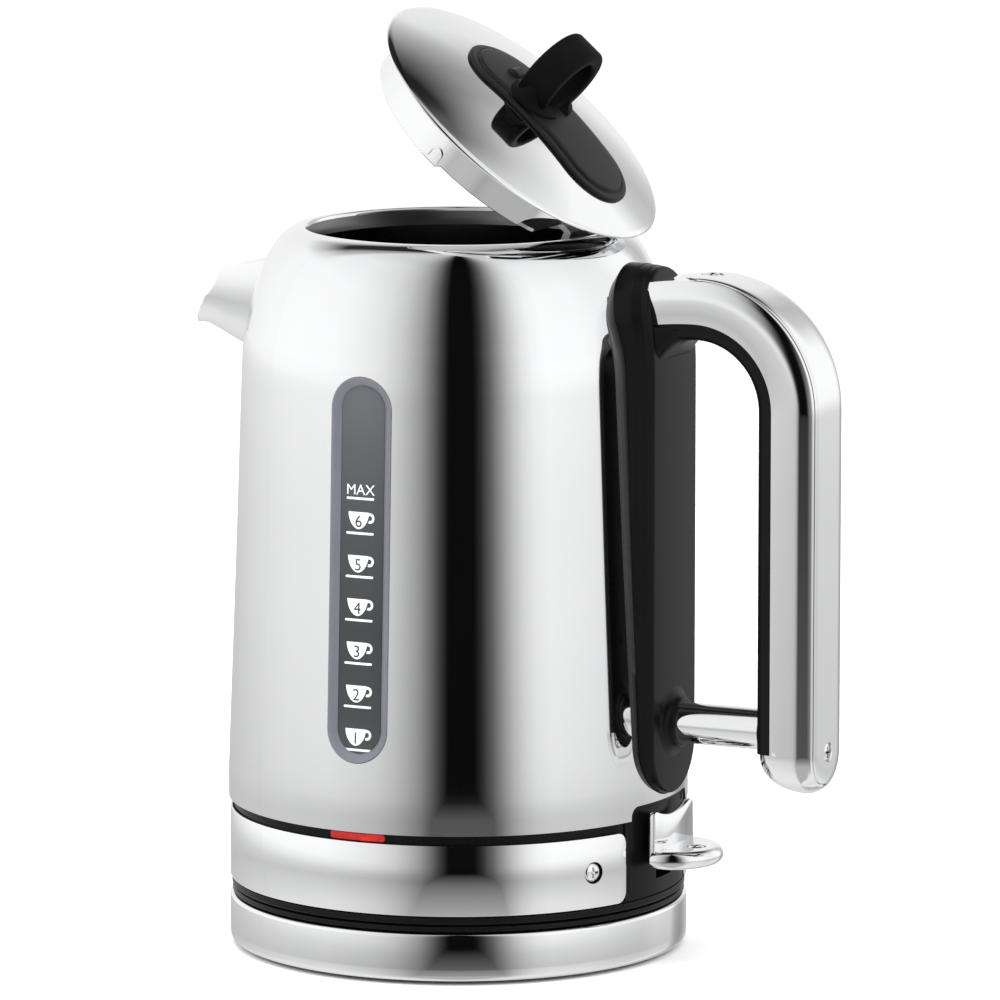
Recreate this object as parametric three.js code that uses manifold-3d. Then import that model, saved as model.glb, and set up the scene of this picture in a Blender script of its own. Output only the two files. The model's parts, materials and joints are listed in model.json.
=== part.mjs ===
// Cordless electric kettle: a round power base, a polished steel jug that lifts off it and turns on it,
// a hinged lid with a ring handle, and a rocking switch lever under the handle.
// Millimetres, +Z up. The table is z = 0. +X points from the jug's axis to the handle, -X to the spout,
// and the water-level window looks along -Y. The lid is built shut and then turned open about its hinge.
import * as THREE from "three";
import { mergeVertices } from "three/addons/utils/BufferGeometryUtils.js";
import Module from "manifold-3d";

const wasm = await Module();
wasm.setup();

// ---------------------------------------------------------------- driving dimensions
const AXIS_SHIFT = -19.1; // moves the jug's axis so that the whole object is centred on x = 0
const GAP = 0.3; // clearance between pieces that touch
const WALL = 1; // sheet steel
const ROUND = 40; // segments of a large turned piece
const SMALL = 16; // segments of a small turned piece

const BASE = { r: 77.7, skirtTop: 17.4, skirtBottom: 1.2, topPlate: 19.9, cover: 2.4, bossR: 24, bossTop: 26 };
const CORD = { z: 10.3, outletR: 5.2, boreR: 3.3 }; // its outlet in the base; the cord itself isn't made
const JUG = { bottom: 20.3, floor: 22.4, housingR: 76.3, housingTop: 56, shellBottom: 50.6, plate: 57.2 };
const BAND = { low: 23.3, high: 47.3, r: 77.6, inner: 76.7, halfGap: 23.4, corner: 4 };
const RECESS = { half: 21.6, top: 55.3, corner: 3.5 }; // notch in the shell's lower edge, behind the lever
const WINDOW = { half: 11, low: 73.8, high: 202.6, rim: 3 };
const RIM = { lipR: 49.9, collarR: 51.5, collarTop: 244.4 };
const STRAP = { half: 17.6, low: 56.7, high: 235.8, face: 80.8, crest: 75.8, bend: 200 };
const STRUT = { z: 81.5, r: 7, from: 83.8, to: 113.6, collarR: 8 };
const HANDLE = { half: 14.3, outer: 137, inner: 117, top: 233.6, bend: 43.6, low: 61.2, root: 79.5, toe: 14 };
// Pressed strip in the handle's outer face: how far it and its groove keep from the sides, where its round upper
// end is centred, and its two screws.
const STRIP = { edge: 3.5, groove: 3.1, depth: 2.2, start: 96.5, screwTop: 94.2, screwLow: 75.6 };
const LID = {
  r: 55.66, under: 245.1, edge: 246.2, dome: 8.4, skirtR: 49.2, skirtLow: 232, relief: 2.5,
  pivotX: 59.66, pivotZ: 230.93,
};
const LID_OPEN = 40.79; // degrees
const INSERT = { x: 6.9, halfLength: 36.2, halfWidth: 16.6, thick: 1.4, panelInset: 2.8, panelThick: 2.2 };
const RING = { outer: 15, hole: 9.8, width: 12, centre: 266.6, footX: 9.6, footY: 15.6 };
const LEVER = {
  face: 80.7, thick: 2.4, half: 15.8, top: 53.2, padTop: 39.7, padLow: 33.5, padR: 17.5, padX: 79.8, screwX: 89,
};
const LEVER_PIVOT = { x: 68, z: 35 };

// Outer line of the shell, as [radius, height], from its lower edge over the shoulder to the lip of the mouth.
const SHELL_LINE = [
  [78.1, JUG.shellBottom], [78, 62], [73.4, 186], [72.6, 204], [71.1, 213], [69.2, 221.5], [66.9, 228.6],
  [64.3, 234.6], [61, 240], [57.5, 243.4], [54.6, 244.7], [52.8, 244.8], [RIM.collarR, RIM.collarTop], [50.3, 241.4],
  [RIM.lipR, 239],
];
// The outside of that line between two heights, up to the crest.
const outsideLine = (low, high) => SHELL_LINE.filter(([r, z]) => r > 54 && z > low && z < high);

// ---------------------------------------------------------------- materials
const finish = (color, roughness, metalness) => new THREE.MeshStandardMaterial({ color, roughness, metalness });
const STEEL = finish(0xd8dadc, 0.08, 1);
const BRUSHED = finish(0xb8babc, 0.35, 1);
const BLACK = finish(0x141415, 0.35, 0);
const SATIN_BLACK = finish(0x1c1c1d, 0.5, 0);
const RUBBER = finish(0x101010, 0.8, 0);
const GREY = finish(0x8e949b, 0.4, 0);
const GLASS = finish(0x3a4046, 0.1, 0);
const RED = finish(0xc01008, 0.2, 0);
const BRASS = finish(0xb08d4a, 0.3, 1);

// ---------------------------------------------------------------- geometry helpers
const rad = THREE.MathUtils.degToRad;

// A closed geometry as a manifold solid; a surface that faces inwards is turned round.
function solid(geometry) {
  const bare = new THREE.BufferGeometry().setAttribute("position", geometry.getAttribute("position"));
  if (geometry.index) bare.setIndex(geometry.index);
  const merged = mergeVertices(bare, 1e-4);
  const triVerts = Uint32Array.from(merged.index.array);
  const vertProperties = Float32Array.from(merged.getAttribute("position").array);
  const made = new wasm.Manifold(new wasm.Mesh({ numProp: 3, vertProperties, triVerts }));
  if (made.volume() > 0) return made;
  for (let i = 0; i < triVerts.length; i += 3) [triVerts[i], triVerts[i + 1]] = [triVerts[i + 1], triVerts[i]];
  return new wasm.Manifold(new wasm.Mesh({ numProp: 3, vertProperties, triVerts }));
}

const root = new THREE.Group();
const lid = new THREE.Group();
const lidPivot = new THREE.Group();

function add(name, shape, material, group = root) {
  const mesh = shape.getMesh();
  const geometry = new THREE.BufferGeometry();
  geometry.setAttribute("position", new THREE.BufferAttribute(Float32Array.from(mesh.vertProperties), 3));
  geometry.setIndex(new THREE.BufferAttribute(Uint32Array.from(mesh.triVerts), 1));
  geometry.computeVertexNormals();
  const node = new THREE.Mesh(geometry, material);
  node.name = name;
  group.add(node);
  return node;
}

// Solid of revolution about Z. The outline, as [radius, height], closes on itself or on the axis.
function turned(outline, segments = ROUND) {
  const points = outline.map(([r, z]) => new THREE.Vector2(r, z));
  if (outline[0][0] > 0) points.push(points[0].clone());
  return solid(new THREE.LatheGeometry(points, segments).rotateX(Math.PI / 2));
}

const ring = (inner, outer, low, high, segments = ROUND) =>
  turned([[inner, low], [outer, low], [outer, high], [inner, high]], segments);
const disc = (r, low, high, segments = ROUND) => turned([[0, low], [r, low], [r, high], [0, high]], segments);

// Flat shape drawn in the plane across an axis, extruded along that axis from `from` to `to`.
// Along x the shape's own axes are y and z, along y they are x and z, along z they are x and y.
function extruded(shape, axis, from, to, curveSegments = 8) {
  const geometry = new THREE.ExtrudeGeometry(shape, { depth: to - from, bevelEnabled: false, curveSegments });
  geometry.translate(0, 0, from);
  const turn = {
    x: new THREE.Matrix4().set(0, 0, 1, 0, 1, 0, 0, 0, 0, 1, 0, 0, 0, 0, 0, 1),
    y: new THREE.Matrix4().set(1, 0, 0, 0, 0, 0, 1, 0, 0, 1, 0, 0, 0, 0, 0, 1),
    z: new THREE.Matrix4(),
  }[axis];
  return solid(geometry.applyMatrix4(turn));
}

// Rectangle with rounded corners, from (x0, y0) to (x1, y1).
function roundedRect(x0, y0, x1, y1, r) {
  const s = new THREE.Shape();
  s.moveTo(x0 + r, y0);
  s.lineTo(x1 - r, y0);
  s.absarc(x1 - r, y0 + r, r, -Math.PI / 2, 0);
  s.lineTo(x1, y1 - r);
  s.absarc(x1 - r, y1 - r, r, 0, Math.PI / 2);
  s.lineTo(x0 + r, y1);
  s.absarc(x0 + r, y1 - r, r, Math.PI / 2, Math.PI);
  s.lineTo(x0, y0 + r);
  s.absarc(x0 + r, y0 + r, r, Math.PI, 1.5 * Math.PI);
  return s;
}

const polygon = (points) => new THREE.Shape(points.map(([a, b]) => new THREE.Vector2(a, b)));
const box = (x0, x1, y0, y1, z0, z1) => extruded(polygon([[x0, y0], [x1, y0], [x1, y1], [x0, y1]]), "z", z0, z1);

// Round bar along an axis; u and v are its centre in the plane across that axis.
function bar(axis, u, v, r, from, to, segments = SMALL) {
  const circle = Array.from({ length: segments }, (_, i) => {
    const a = (2 * Math.PI * i) / segments;
    return [u + r * Math.cos(a), v + r * Math.sin(a)];
  });
  return extruded(polygon(circle), axis, from, to);
}

// Solid skinned over a row of rings of points, with flat ends, or joined end to end.
function lofted(rings, joined = false) {
  const count = rings[0].length;
  const position = rings.flat(2);
  const index = [];
  const bands = joined ? rings.length : rings.length - 1;
  for (let i = 0; i < bands; i++) {
    for (let j = 0; j < count; j++) {
      const a = i * count + j;
      const b = i * count + ((j + 1) % count);
      const next = ((i + 1) % rings.length) * count;
      index.push(a, b, next + j, b, next + ((j + 1) % count), next + j);
    }
  }
  if (!joined) {
    for (const [first, flip] of [[0, true], [(rings.length - 1) * count, false]]) {
      const cap = rings[first / count];
      const middle = position.length / 3;
      position.push(...[0, 1, 2].map((k) => cap.reduce((sum, p) => sum + p[k], 0) / count));
      for (let j = 0; j < count; j++) {
        const pair = [first + j, first + ((j + 1) % count)];
        if (flip) pair.reverse();
        index.push(middle, ...pair);
      }
    }
  }
  const geometry = new THREE.BufferGeometry();
  geometry.setAttribute("position", new THREE.Float32BufferAttribute(position, 3));
  return solid(geometry.setIndex(index));
}

// The line moved sideways by d: outwards, or inwards where d is negative.
function offsetLine(line, d) {
  return line.map(([r, z], i) => {
    const [r0, z0] = line[Math.max(i - 1, 0)];
    const [r1, z1] = line[Math.min(i + 1, line.length - 1)];
    const length = Math.hypot(r1 - r0, z1 - z0);
    return [r + (d * (z1 - z0)) / length, z - (d * (r1 - r0)) / length];
  });
}

const shellLayer = (inner, outer, line = SHELL_LINE) =>
  turned([...offsetLine(line, outer), ...offsetLine(line, inner).reverse()]);

// Countersunk cross-head screw along +Z, its head's top at z = 0.
function crossScrew(headR, headDepth, shankR, length) {
  const blank = turned([[0, -length], [shankR, -length], [shankR, -headDepth], [headR, -headDepth * 0.6],
    [headR, -0.2], [headR - 0.4, 0], [0, 0]], 12);
  const slot = headR * 0.62;
  return blank
    .subtract(box(-slot, slot, -0.35, 0.35, -headDepth * 0.7, 1))
    .subtract(box(-0.35, 0.35, -slot, slot, -headDepth * 0.7, 1));
}

// ---------------------------------------------------------------- power base
function powerBase() {
  const { r, skirtTop, skirtBottom, topPlate, cover, bossR, bossTop } = BASE;
  const { z: outletZ, outletR, boreR } = CORD;
  const skirt = turned([
    [r - 3, skirtBottom], [r - 0.9, skirtBottom + 0.9], [r, skirtBottom + 3], [r, skirtTop - 1], [r - 1, skirtTop],
    [66, skirtTop], [66, skirtTop - WALL], [r - 1.6, skirtTop - WALL], [r - 1.1, skirtTop - 2],
    [r - 1.1, skirtBottom + 3.4], [r - 3, skirtBottom + 1.4],
  ]);
  add("base_skirt", skirt.subtract(bar("y", 0, outletZ, outletR, 70, 80, 16)), STEEL);
  const rimR = r - 0.8;
  add("base_top", turned([[bossR + 0.5, skirtTop + GAP], [rimR - 0.6, skirtTop + GAP], [rimR, skirtTop + 0.9],
    [rimR, topPlate - 0.8], [rimR - 0.8, topPlate], [bossR + 0.5, topPlate]]), SATIN_BLACK);
  add("base_connector", turned([[3, 13], [bossR, 13], [bossR, bossTop - 1], [bossR - 1, bossTop], [15.5, bossTop],
    [15.5, 19], [11, 19], [11, bossTop], [3, bossTop]], 32), BLACK);
  add("base_cover", disc(r - 3.6, cover, cover + 2), SATIN_BLACK);
  const gland = bar("y", 0, outletZ, 5.7, 73.6, 75.6, 16).add(bar("y", 0, outletZ, outletR - GAP, 75.5, 78, 16));
  add("cord_gland", gland.subtract(bar("y", 0, outletZ, boreR, 70, 80, 16)), RUBBER);
  for (let i = 0; i < 4; i++) {
    const a = rad(45 + 90 * i);
    add(`foot_${i + 1}`, disc(7, 0, cover - GAP, SMALL).translate(60 * Math.cos(a), 60 * Math.sin(a), 0), RUBBER);
  }
  for (let i = 0; i < 3; i++) {
    const a = rad(30 + 120 * i);
    const screw = disc(3.2, 1.1, cover - GAP, 12).translate(38 * Math.cos(a), 38 * Math.sin(a), 0);
    add(`base_screw_${i + 1}`, screw, BRUSHED);
  }
}

// ---------------------------------------------------------------- jug: lower end
function jugConnector() {
  add("jug_connector", turned([[0, 18.5], [2.4, 18.5], [2.4, 26.6], [12, 26.6], [12, 20.5], [14, 20.5], [14, 26.6],
    [27, 26.6], [27, 33], [0, 33]], 32), BLACK);
}

function lowerHousing() {
  const { bottom, floor, housingR, housingTop } = JUG;
  const mouthR = 28.5; // round the connector
  const footR = 77.1;
  const tub = turned([[mouthR, bottom], [footR - 0.5, bottom], [footR, bottom + 0.6], [footR, BAND.low - 0.7],
    [BAND.inner, BAND.low - GAP], [housingR, BAND.low - GAP], [housingR, housingTop], [housingR - 2, housingTop],
    [housingR - 2, floor], [mouthR, floor]]);
  const patchRing = turned([[housingR - 2, BAND.low - 2.5], [77, BAND.low - 2.5], [77, 56], [housingR - 2, 56]], 56);
  const low = BAND.low - 2;
  const shoulder = JUG.shellBottom - GAP;
  const patchShape = roundedRect(-RECESS.half + GAP, low, RECESS.half - GAP, RECESS.top - GAP, RECESS.corner);
  const lowShape = polygon([[-23, low], [23, low], [23, shoulder], [-23, shoulder]]);
  const patch = patchRing.intersect(extruded(patchShape, "x", 60, 90).add(extruded(lowShape, "x", 60, 90)));
  const { x, z } = LEVER_PIVOT;
  const lug = polygon([[x - 4, floor - 0.5], [x + 4, floor - 0.5], [x + 4, z + 3], [x + 2, z + 4.5],
    [x - 2, z + 4.5], [x - 4, z + 3]]);
  const lugs = extruded(lug, "y", -8.5, -6.5).add(extruded(lug, "y", 6.5, 8.5));
  const slot = box(60, 90, -5.8, 5.8, 28.5, 40.5);
  const pinHole = bar("y", x, z, 1.8, -12, 12, 12);
  const lampSeat = ring(housingR - 1, 80, BAND.high + 0.1, JUG.shellBottom + 0.1, 56)
    .intersect(box(-10.4, 10.4, -90, -70, 40, 60));
  const housing = tub.add(patch).add(lugs).subtract(slot).subtract(pinHole).subtract(lampSeat);
  add("lower_housing", housing, SATIN_BLACK);
  const lens = ring(housingR - 0.6, 77.5, BAND.high + 0.4, JUG.shellBottom - 0.4, 56)
    .intersect(box(-10, 10, -90, -70, 40, 60));
  add("neon_lamp_lens", lens, RED);
  add("lever_pin", bar("y", x, z, 1.5, -9.5, 9.5, 12), BRUSHED);
}

function chromeBand() {
  const { low, high, r, inner, halfGap: w, corner: c } = BAND;
  const gap = new THREE.Shape();
  gap.moveTo(-w - c, low - 1);
  gap.lineTo(w + c, low - 1);
  gap.lineTo(w + c, low);
  gap.absarc(w + c, low + c, c, -Math.PI / 2, Math.PI, true);
  gap.lineTo(w, high - c);
  gap.absarc(w + c, high - c, c, Math.PI, Math.PI / 2, true);
  gap.lineTo(w + c, high + 1);
  gap.lineTo(-w - c, high + 1);
  gap.lineTo(-w - c, high);
  gap.absarc(-w - c, high - c, c, Math.PI / 2, 0, true);
  gap.lineTo(-w, low + c);
  gap.absarc(-w - c, low + c, c, 0, -Math.PI / 2, true);
  let band = ring(inner, r, low, high, 56).subtract(extruded(gap, "x", 60, 90, 5));
  const screwZ = (low + high) / 2;
  for (const [name, side] of [["band_screw_left", -1], ["band_screw_right", 1]]) {
    const place = (s) => s.rotate([0, 90, 0]).translate(r, 0, screwZ).rotate([0, 0, side * 28.4]);
    band = band.subtract(place(disc(3.6, -3, 1, 16)));
    add(name, place(crossScrew(3.1, 0.5, 3.1, 0.6).translate(0, 0, -0.15)), STEEL);
  }
  add("base_band", band, STEEL);
}

function heating() {
  const { plate } = JUG;
  const tube = steamTubePlace();
  const tubeHole = bar("z", tube.x, tube.y, tube.r + 0.4, 50, 65, 12);
  add("heater_plate", disc(76.2, plate, plate + 1.2).subtract(tubeHole), BRUSHED);
  add("heating_element", turned([[49, 50.5], [55, 50.5], [57, 52.5], [57, 54.9], [55, 56.9], [49, 56.9], [47, 54.9],
    [47, 52.5]], 32), BRUSHED);
  add("control_unit", disc(25, 33.4, 50, 24), BLACK);
  add("chamber_seal", ring(73.8, 76.4, plate + 1.5, plate + 3.3), RUBBER);
  const wall = bar("z", tube.x, tube.y, tube.r, 52, 219, 12)
    .subtract(bar("z", tube.x, tube.y, tube.r - WALL, 50, 230, 12));
  add("steam_tube", wall, BRUSHED);
}

function steamTubePlace() {
  const a = rad(27);
  return { x: 62 * Math.cos(a), y: 62 * Math.sin(a), r: 4 };
}

// ---------------------------------------------------------------- jug: shell, spout and window
// One cross-section of the spout at x: a flat top, straight flanks and a rounded keel.
function spoutSection(x, top, bottom, half, inset) {
  const zt = top - inset;
  const zb = bottom + inset;
  const w = half - inset;
  const keel = Math.min(w * 0.55, 6);
  const section = [[x, w - 1.2, zt], [x, w, zt - 1.2], [x, w, zt - 4]];
  for (let i = 0; i <= 6; i++) {
    const a = (Math.PI * i) / 6;
    section.push([x, keel * Math.cos(a) * (1 + 0.15 * Math.abs(Math.cos(a))), zb + keel * 0.8 * (1 - Math.sin(a))]);
  }
  section.push([x, -w, zt - 4], [x, -w, zt - 1.2], [x, -w + 1.2, zt]);
  return section;
}

function spoutLoft(inset) {
  const stations = [[-60, 232, 190, 15.7], [-68, 230.6, 195, 14.2], [-76, 229.2, 198.7, 12.8],
    [-84, 227.7, 202, 11.3], [-91, 226.4, 205.4, 9.9], [-95, 225.6, 206.6, 9], [-99, 224.8, 206.2, 8]];
  const reach = inset > 0 ? [[-104, 223.8, 206, 7.2]] : [];
  return lofted([...stations, ...reach].map(([x, top, bottom, half]) => spoutSection(x, top, bottom, half, inset)));
}

function shellAndSpout() {
  const outerVolume = turned([[0, 40], ...offsetLine(outsideLine(50, 245), GAP), [0, 250]]);
  const racetrack = (grow) => extruded(roundedRect(-WINDOW.half - grow, WINDOW.low - grow, WINDOW.half + grow,
    WINDOW.high + grow, WINDOW.half + grow), "y", -90, -50, 6);
  const notch = extruded(roundedRect(-RECESS.half, 30, RECESS.half, RECESS.top, RECESS.corner), "x", 60, 90, 4);
  const bore = spoutLoft(WALL);
  const shell = shellLayer(-WALL, 0).subtract(racetrack(GAP)).subtract(notch).subtract(bore);
  add("body_shell", shell, STEEL);

  const mouthCut = extruded(polygon([[-89, 226.9], [-93.6, 220.2], [-97, 216.2], [-98.6, 211.5], [-98.6, 204],
    [-110, 204], [-110, 240], [-89, 240]]), "y", -20, 20);
  add("spout", spoutLoft(0).subtract(bore).subtract(outerVolume).subtract(mouthCut), STEEL);

  const innerVolume = turned([[0, 180], ...offsetLine(outsideLine(180, 241), -WALL - GAP), [0, 238]]);
  const duct = box(-80, -56, -18.5, 18.5, 190, 237).subtract(box(-81, -50, -17.2, 17.2, 191.3, 235.7));
  add("filter_holder", duct.intersect(innerVolume), SATIN_BLACK);
  // The filter's fine mesh is a thin sheet, set back on both sides of a frame of ribs.
  let filter = box(-55.6, -53.4, -17, 17, 191.6, 235.4);
  for (let i = 0; i < 3; i++) {
    for (let j = 0; j < 4; j++) {
      const field = [-14.4 + 10 * i, -5.6 + 10 * i, 194 + 10.1 * j, 202.6 + 10.1 * j];
      filter = filter.subtract(box(-57, -54.8, ...field)).subtract(box(-54.2, -52, ...field));
    }
  }
  add("spout_filter", filter, GREY);

  const inner = racetrack(-WINDOW.rim);
  add("window_frame", shellLayer(-2.6, 0.5, outsideLine(50, 210)).intersect(racetrack(0)).subtract(inner), GREY);
  add("window_lens", shellLayer(-3.6, -1.8, outsideLine(50, 210)).intersect(racetrack(-WINDOW.rim - GAP)), GLASS);
}

// ---------------------------------------------------------------- handle
// Centre line of the handle: out of its root, round the bend, straight down. Each station has its place and the
// outward direction across it; depth is measured inwards from the outer face.
function handleStations() {
  const { outer, top, bend, low, root: rootX } = HANDLE;
  const stations = [{ x: rootX, z: top - 1.4, a: 90 }, { x: outer - bend - 3, z: top, a: 90 }];
  for (let i = 1; i <= 9; i++) {
    const a = 90 - 10 * i;
    stations.push({ x: outer - bend + bend * Math.cos(rad(a)), z: top - bend + bend * Math.sin(rad(a)), a });
  }
  stations.push({ x: outer, z: low - 1, a: 0 });
  return stations;
}

// Sweeps a section, given as [depth, y] points, along the handle.
const swept = (section) => lofted(handleStations().map(({ x, z, a }) => section.map(([depth, y]) =>
  [x - depth * Math.cos(rad(a)), y, z - depth * Math.sin(rad(a))])));

// Solid that rounds the handle's lower end: seen along x a half circle of radius r about (y = 0, z), seen along y
// a rounded corner towards the jug.
function endKeeper(r, z) {
  const { outer, inner, toe } = HANDLE;
  const front = new THREE.Shape();
  front.moveTo(-r, 260);
  front.lineTo(-r, z);
  front.absarc(0, z, r, Math.PI, 2 * Math.PI);
  front.lineTo(r, 260);
  const side = new THREE.Shape();
  const back = inner - 2;
  side.moveTo(60, 260);
  side.lineTo(60, 150);
  side.lineTo(back, 150);
  side.absarc(back + toe, z - r + toe, toe, Math.PI, 1.5 * Math.PI);
  side.lineTo(outer + 5, z - r);
  side.lineTo(outer + 5, 260);
  return extruded(front, "x", 60, 150, 6).intersect(extruded(side, "y", -20, 20, 4));
}

function handle() {
  const { half: h, outer, low, top } = HANDLE;
  const { depth: stripDepth, start, screwTop, screwLow } = STRIP;
  const grooveHalf = h - STRIP.groove;
  const stripHalf = h - STRIP.edge;
  const linerDepth = 15.2;
  const shell = swept([[1, h - 2.6], [4.5, h - 0.9], [9, h], [linerDepth, h - 0.3], [linerDepth, -h + 0.3], [9, -h],
    [4.5, -h + 0.9], [1, -h + 2.6]]);
  const groove = swept([[-2, grooveHalf], [stripDepth + GAP, grooveHalf], [stripDepth + GAP, -grooveHalf],
    [-2, -grooveHalf]]);
  const roundStart = (r) => bar("z", start, 0, r, 200, 250, 24).add(box(start, 150, -30, 30, 50, 250));
  const grooveKeeper = endKeeper(grooveHalf, low + h).intersect(roundStart(grooveHalf));
  add("handle_shell", shell.intersect(endKeeper(h, low + h)).subtract(groove.intersect(grooveKeeper)), STEEL);

  const screwSeat = bar("x", 0, screwLow, 3.6, outer - 1, outer + 3, 16);
  const topSeat = bar("z", screwTop, 0, 4, top - 0.9, top + 5, 16);
  const strip = swept([[0.9, stripHalf], [0, stripHalf - 2.2], [0, 2.2 - stripHalf], [0.9, -stripHalf],
    [stripDepth, -stripHalf], [stripDepth, stripHalf]]).intersect(endKeeper(stripHalf, low + h))
    .intersect(roundStart(stripHalf));
  add("handle_strip", strip.subtract(screwSeat).subtract(topSeat), STEEL);
  const lowScrew = crossScrew(3.2, 0.7, 3.2, 0.7).rotate([0, 90, 0]).translate(outer, 0, screwLow);
  add("handle_screw_low", lowScrew, STEEL);
  add("handle_screw_top", crossScrew(3.6, 0.5, 3.6, 0.5).translate(screwTop, 0, top - 0.1), STEEL);

  const liner = swept([[linerDepth + GAP, h - 0.3], [18.6, h - 0.5], [20.4, h - 1.9], [21, h - 4.4], [21, -h + 4.4],
    [20.4, -h + 1.9], [18.6, -h + 0.5], [linerDepth + GAP, -h + 0.3]]).intersect(endKeeper(h - 0.4, low + h));
  const collar = bar("x", 0, STRUT.z, STRUT.collarR - 0.6, STRUT.to + GAP, HANDLE.inner, 16);
  add("handle_liner", liner.add(collar), SATIN_BLACK);
  add("handle_strut", bar("x", 0, STRUT.z, STRUT.r, STRUT.from, STRUT.to, SMALL), STEEL);
}

// Black moulding on the back of the jug: it covers the steam channel and carries both ends of the handle. Its face
// is upright and leans back over the shoulder, and its back follows the shell.
function strap() {
  const { half, low, high, face, crest, bend } = STRAP;
  const { half: h, root: rootX, top } = HANDLE;
  const outline = extruded(roundedRect(-half, low, half, high, half - 0.1), "x", 50, face, 6);
  const body = turned([[0, 40], ...offsetLine(SHELL_LINE.filter(([r]) => r > 51), GAP), [0, 250]]);
  const lean = extruded(polygon([[face, bend], [face - 1.5, bend + 18], [crest, high + 1], [face + 5, high + 1],
    [face + 5, bend]]), "y", -30, 30);
  const socket = box(rootX - GAP, 95, -h - GAP, h + GAP, top - 22.8, top + GAP);
  const boss = bar("x", 0, STRUT.z, STRUT.collarR, face - 3, STRUT.from - GAP, 16);
  add("handle_strap", outline.subtract(lean).subtract(body).subtract(socket).add(boss), SATIN_BLACK);
}

// ---------------------------------------------------------------- lid hinge, inside the rim
function hingeBracket() {
  const { pivotX: px, pivotZ: pz } = LID;
  const lug = polygon([[56, 226], [60, 224], [63.2, 214], [64.8, 214], [64.8, 226], [63, 231.5], [60.5, 235],
    [57, 235]]);
  const plate = box(63.2, 64.8, -10.4, 10.4, 214, 225);
  const sides = extruded(lug, "y", -10.4, -8.4).add(extruded(lug, "y", 8.4, 10.4));
  add("hinge_bracket", plate.add(sides).subtract(bar("y", px, pz, 1.9, -20, 20, 12)), BRUSHED);
  add("hinge_pin", bar("y", px, pz, 1.6, -11.6, 11.6, 12), BRUSHED);
}

// ---------------------------------------------------------------- lid, built shut
const domeHeight = (r) => LID.edge + LID.dome * (1 - (r / (LID.r - 0.6)) ** 2);

// Lowest point of the skirt that swings clear of the collar, at an angle about the jug's axis. Seen along the
// hinge, every point left must be further from the pivot than the collar's corner is at the same y.
function skirtLow(angle) {
  const x = LID.skirtR * Math.cos(angle);
  const y = LID.skirtR * Math.sin(angle);
  const corner = Math.sqrt(RIM.collarR ** 2 - y ** 2);
  const rise = RIM.collarTop - LID.pivotZ;
  const square = (LID.pivotX - corner) ** 2 - (LID.pivotX - x) ** 2 + rise ** 2;
  const relief = LID.pivotZ + Math.sqrt(Math.max(square, 0)) + LID.relief;
  return x > 0 && relief > LID.skirtLow ? relief : LID.skirtLow;
}

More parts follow.
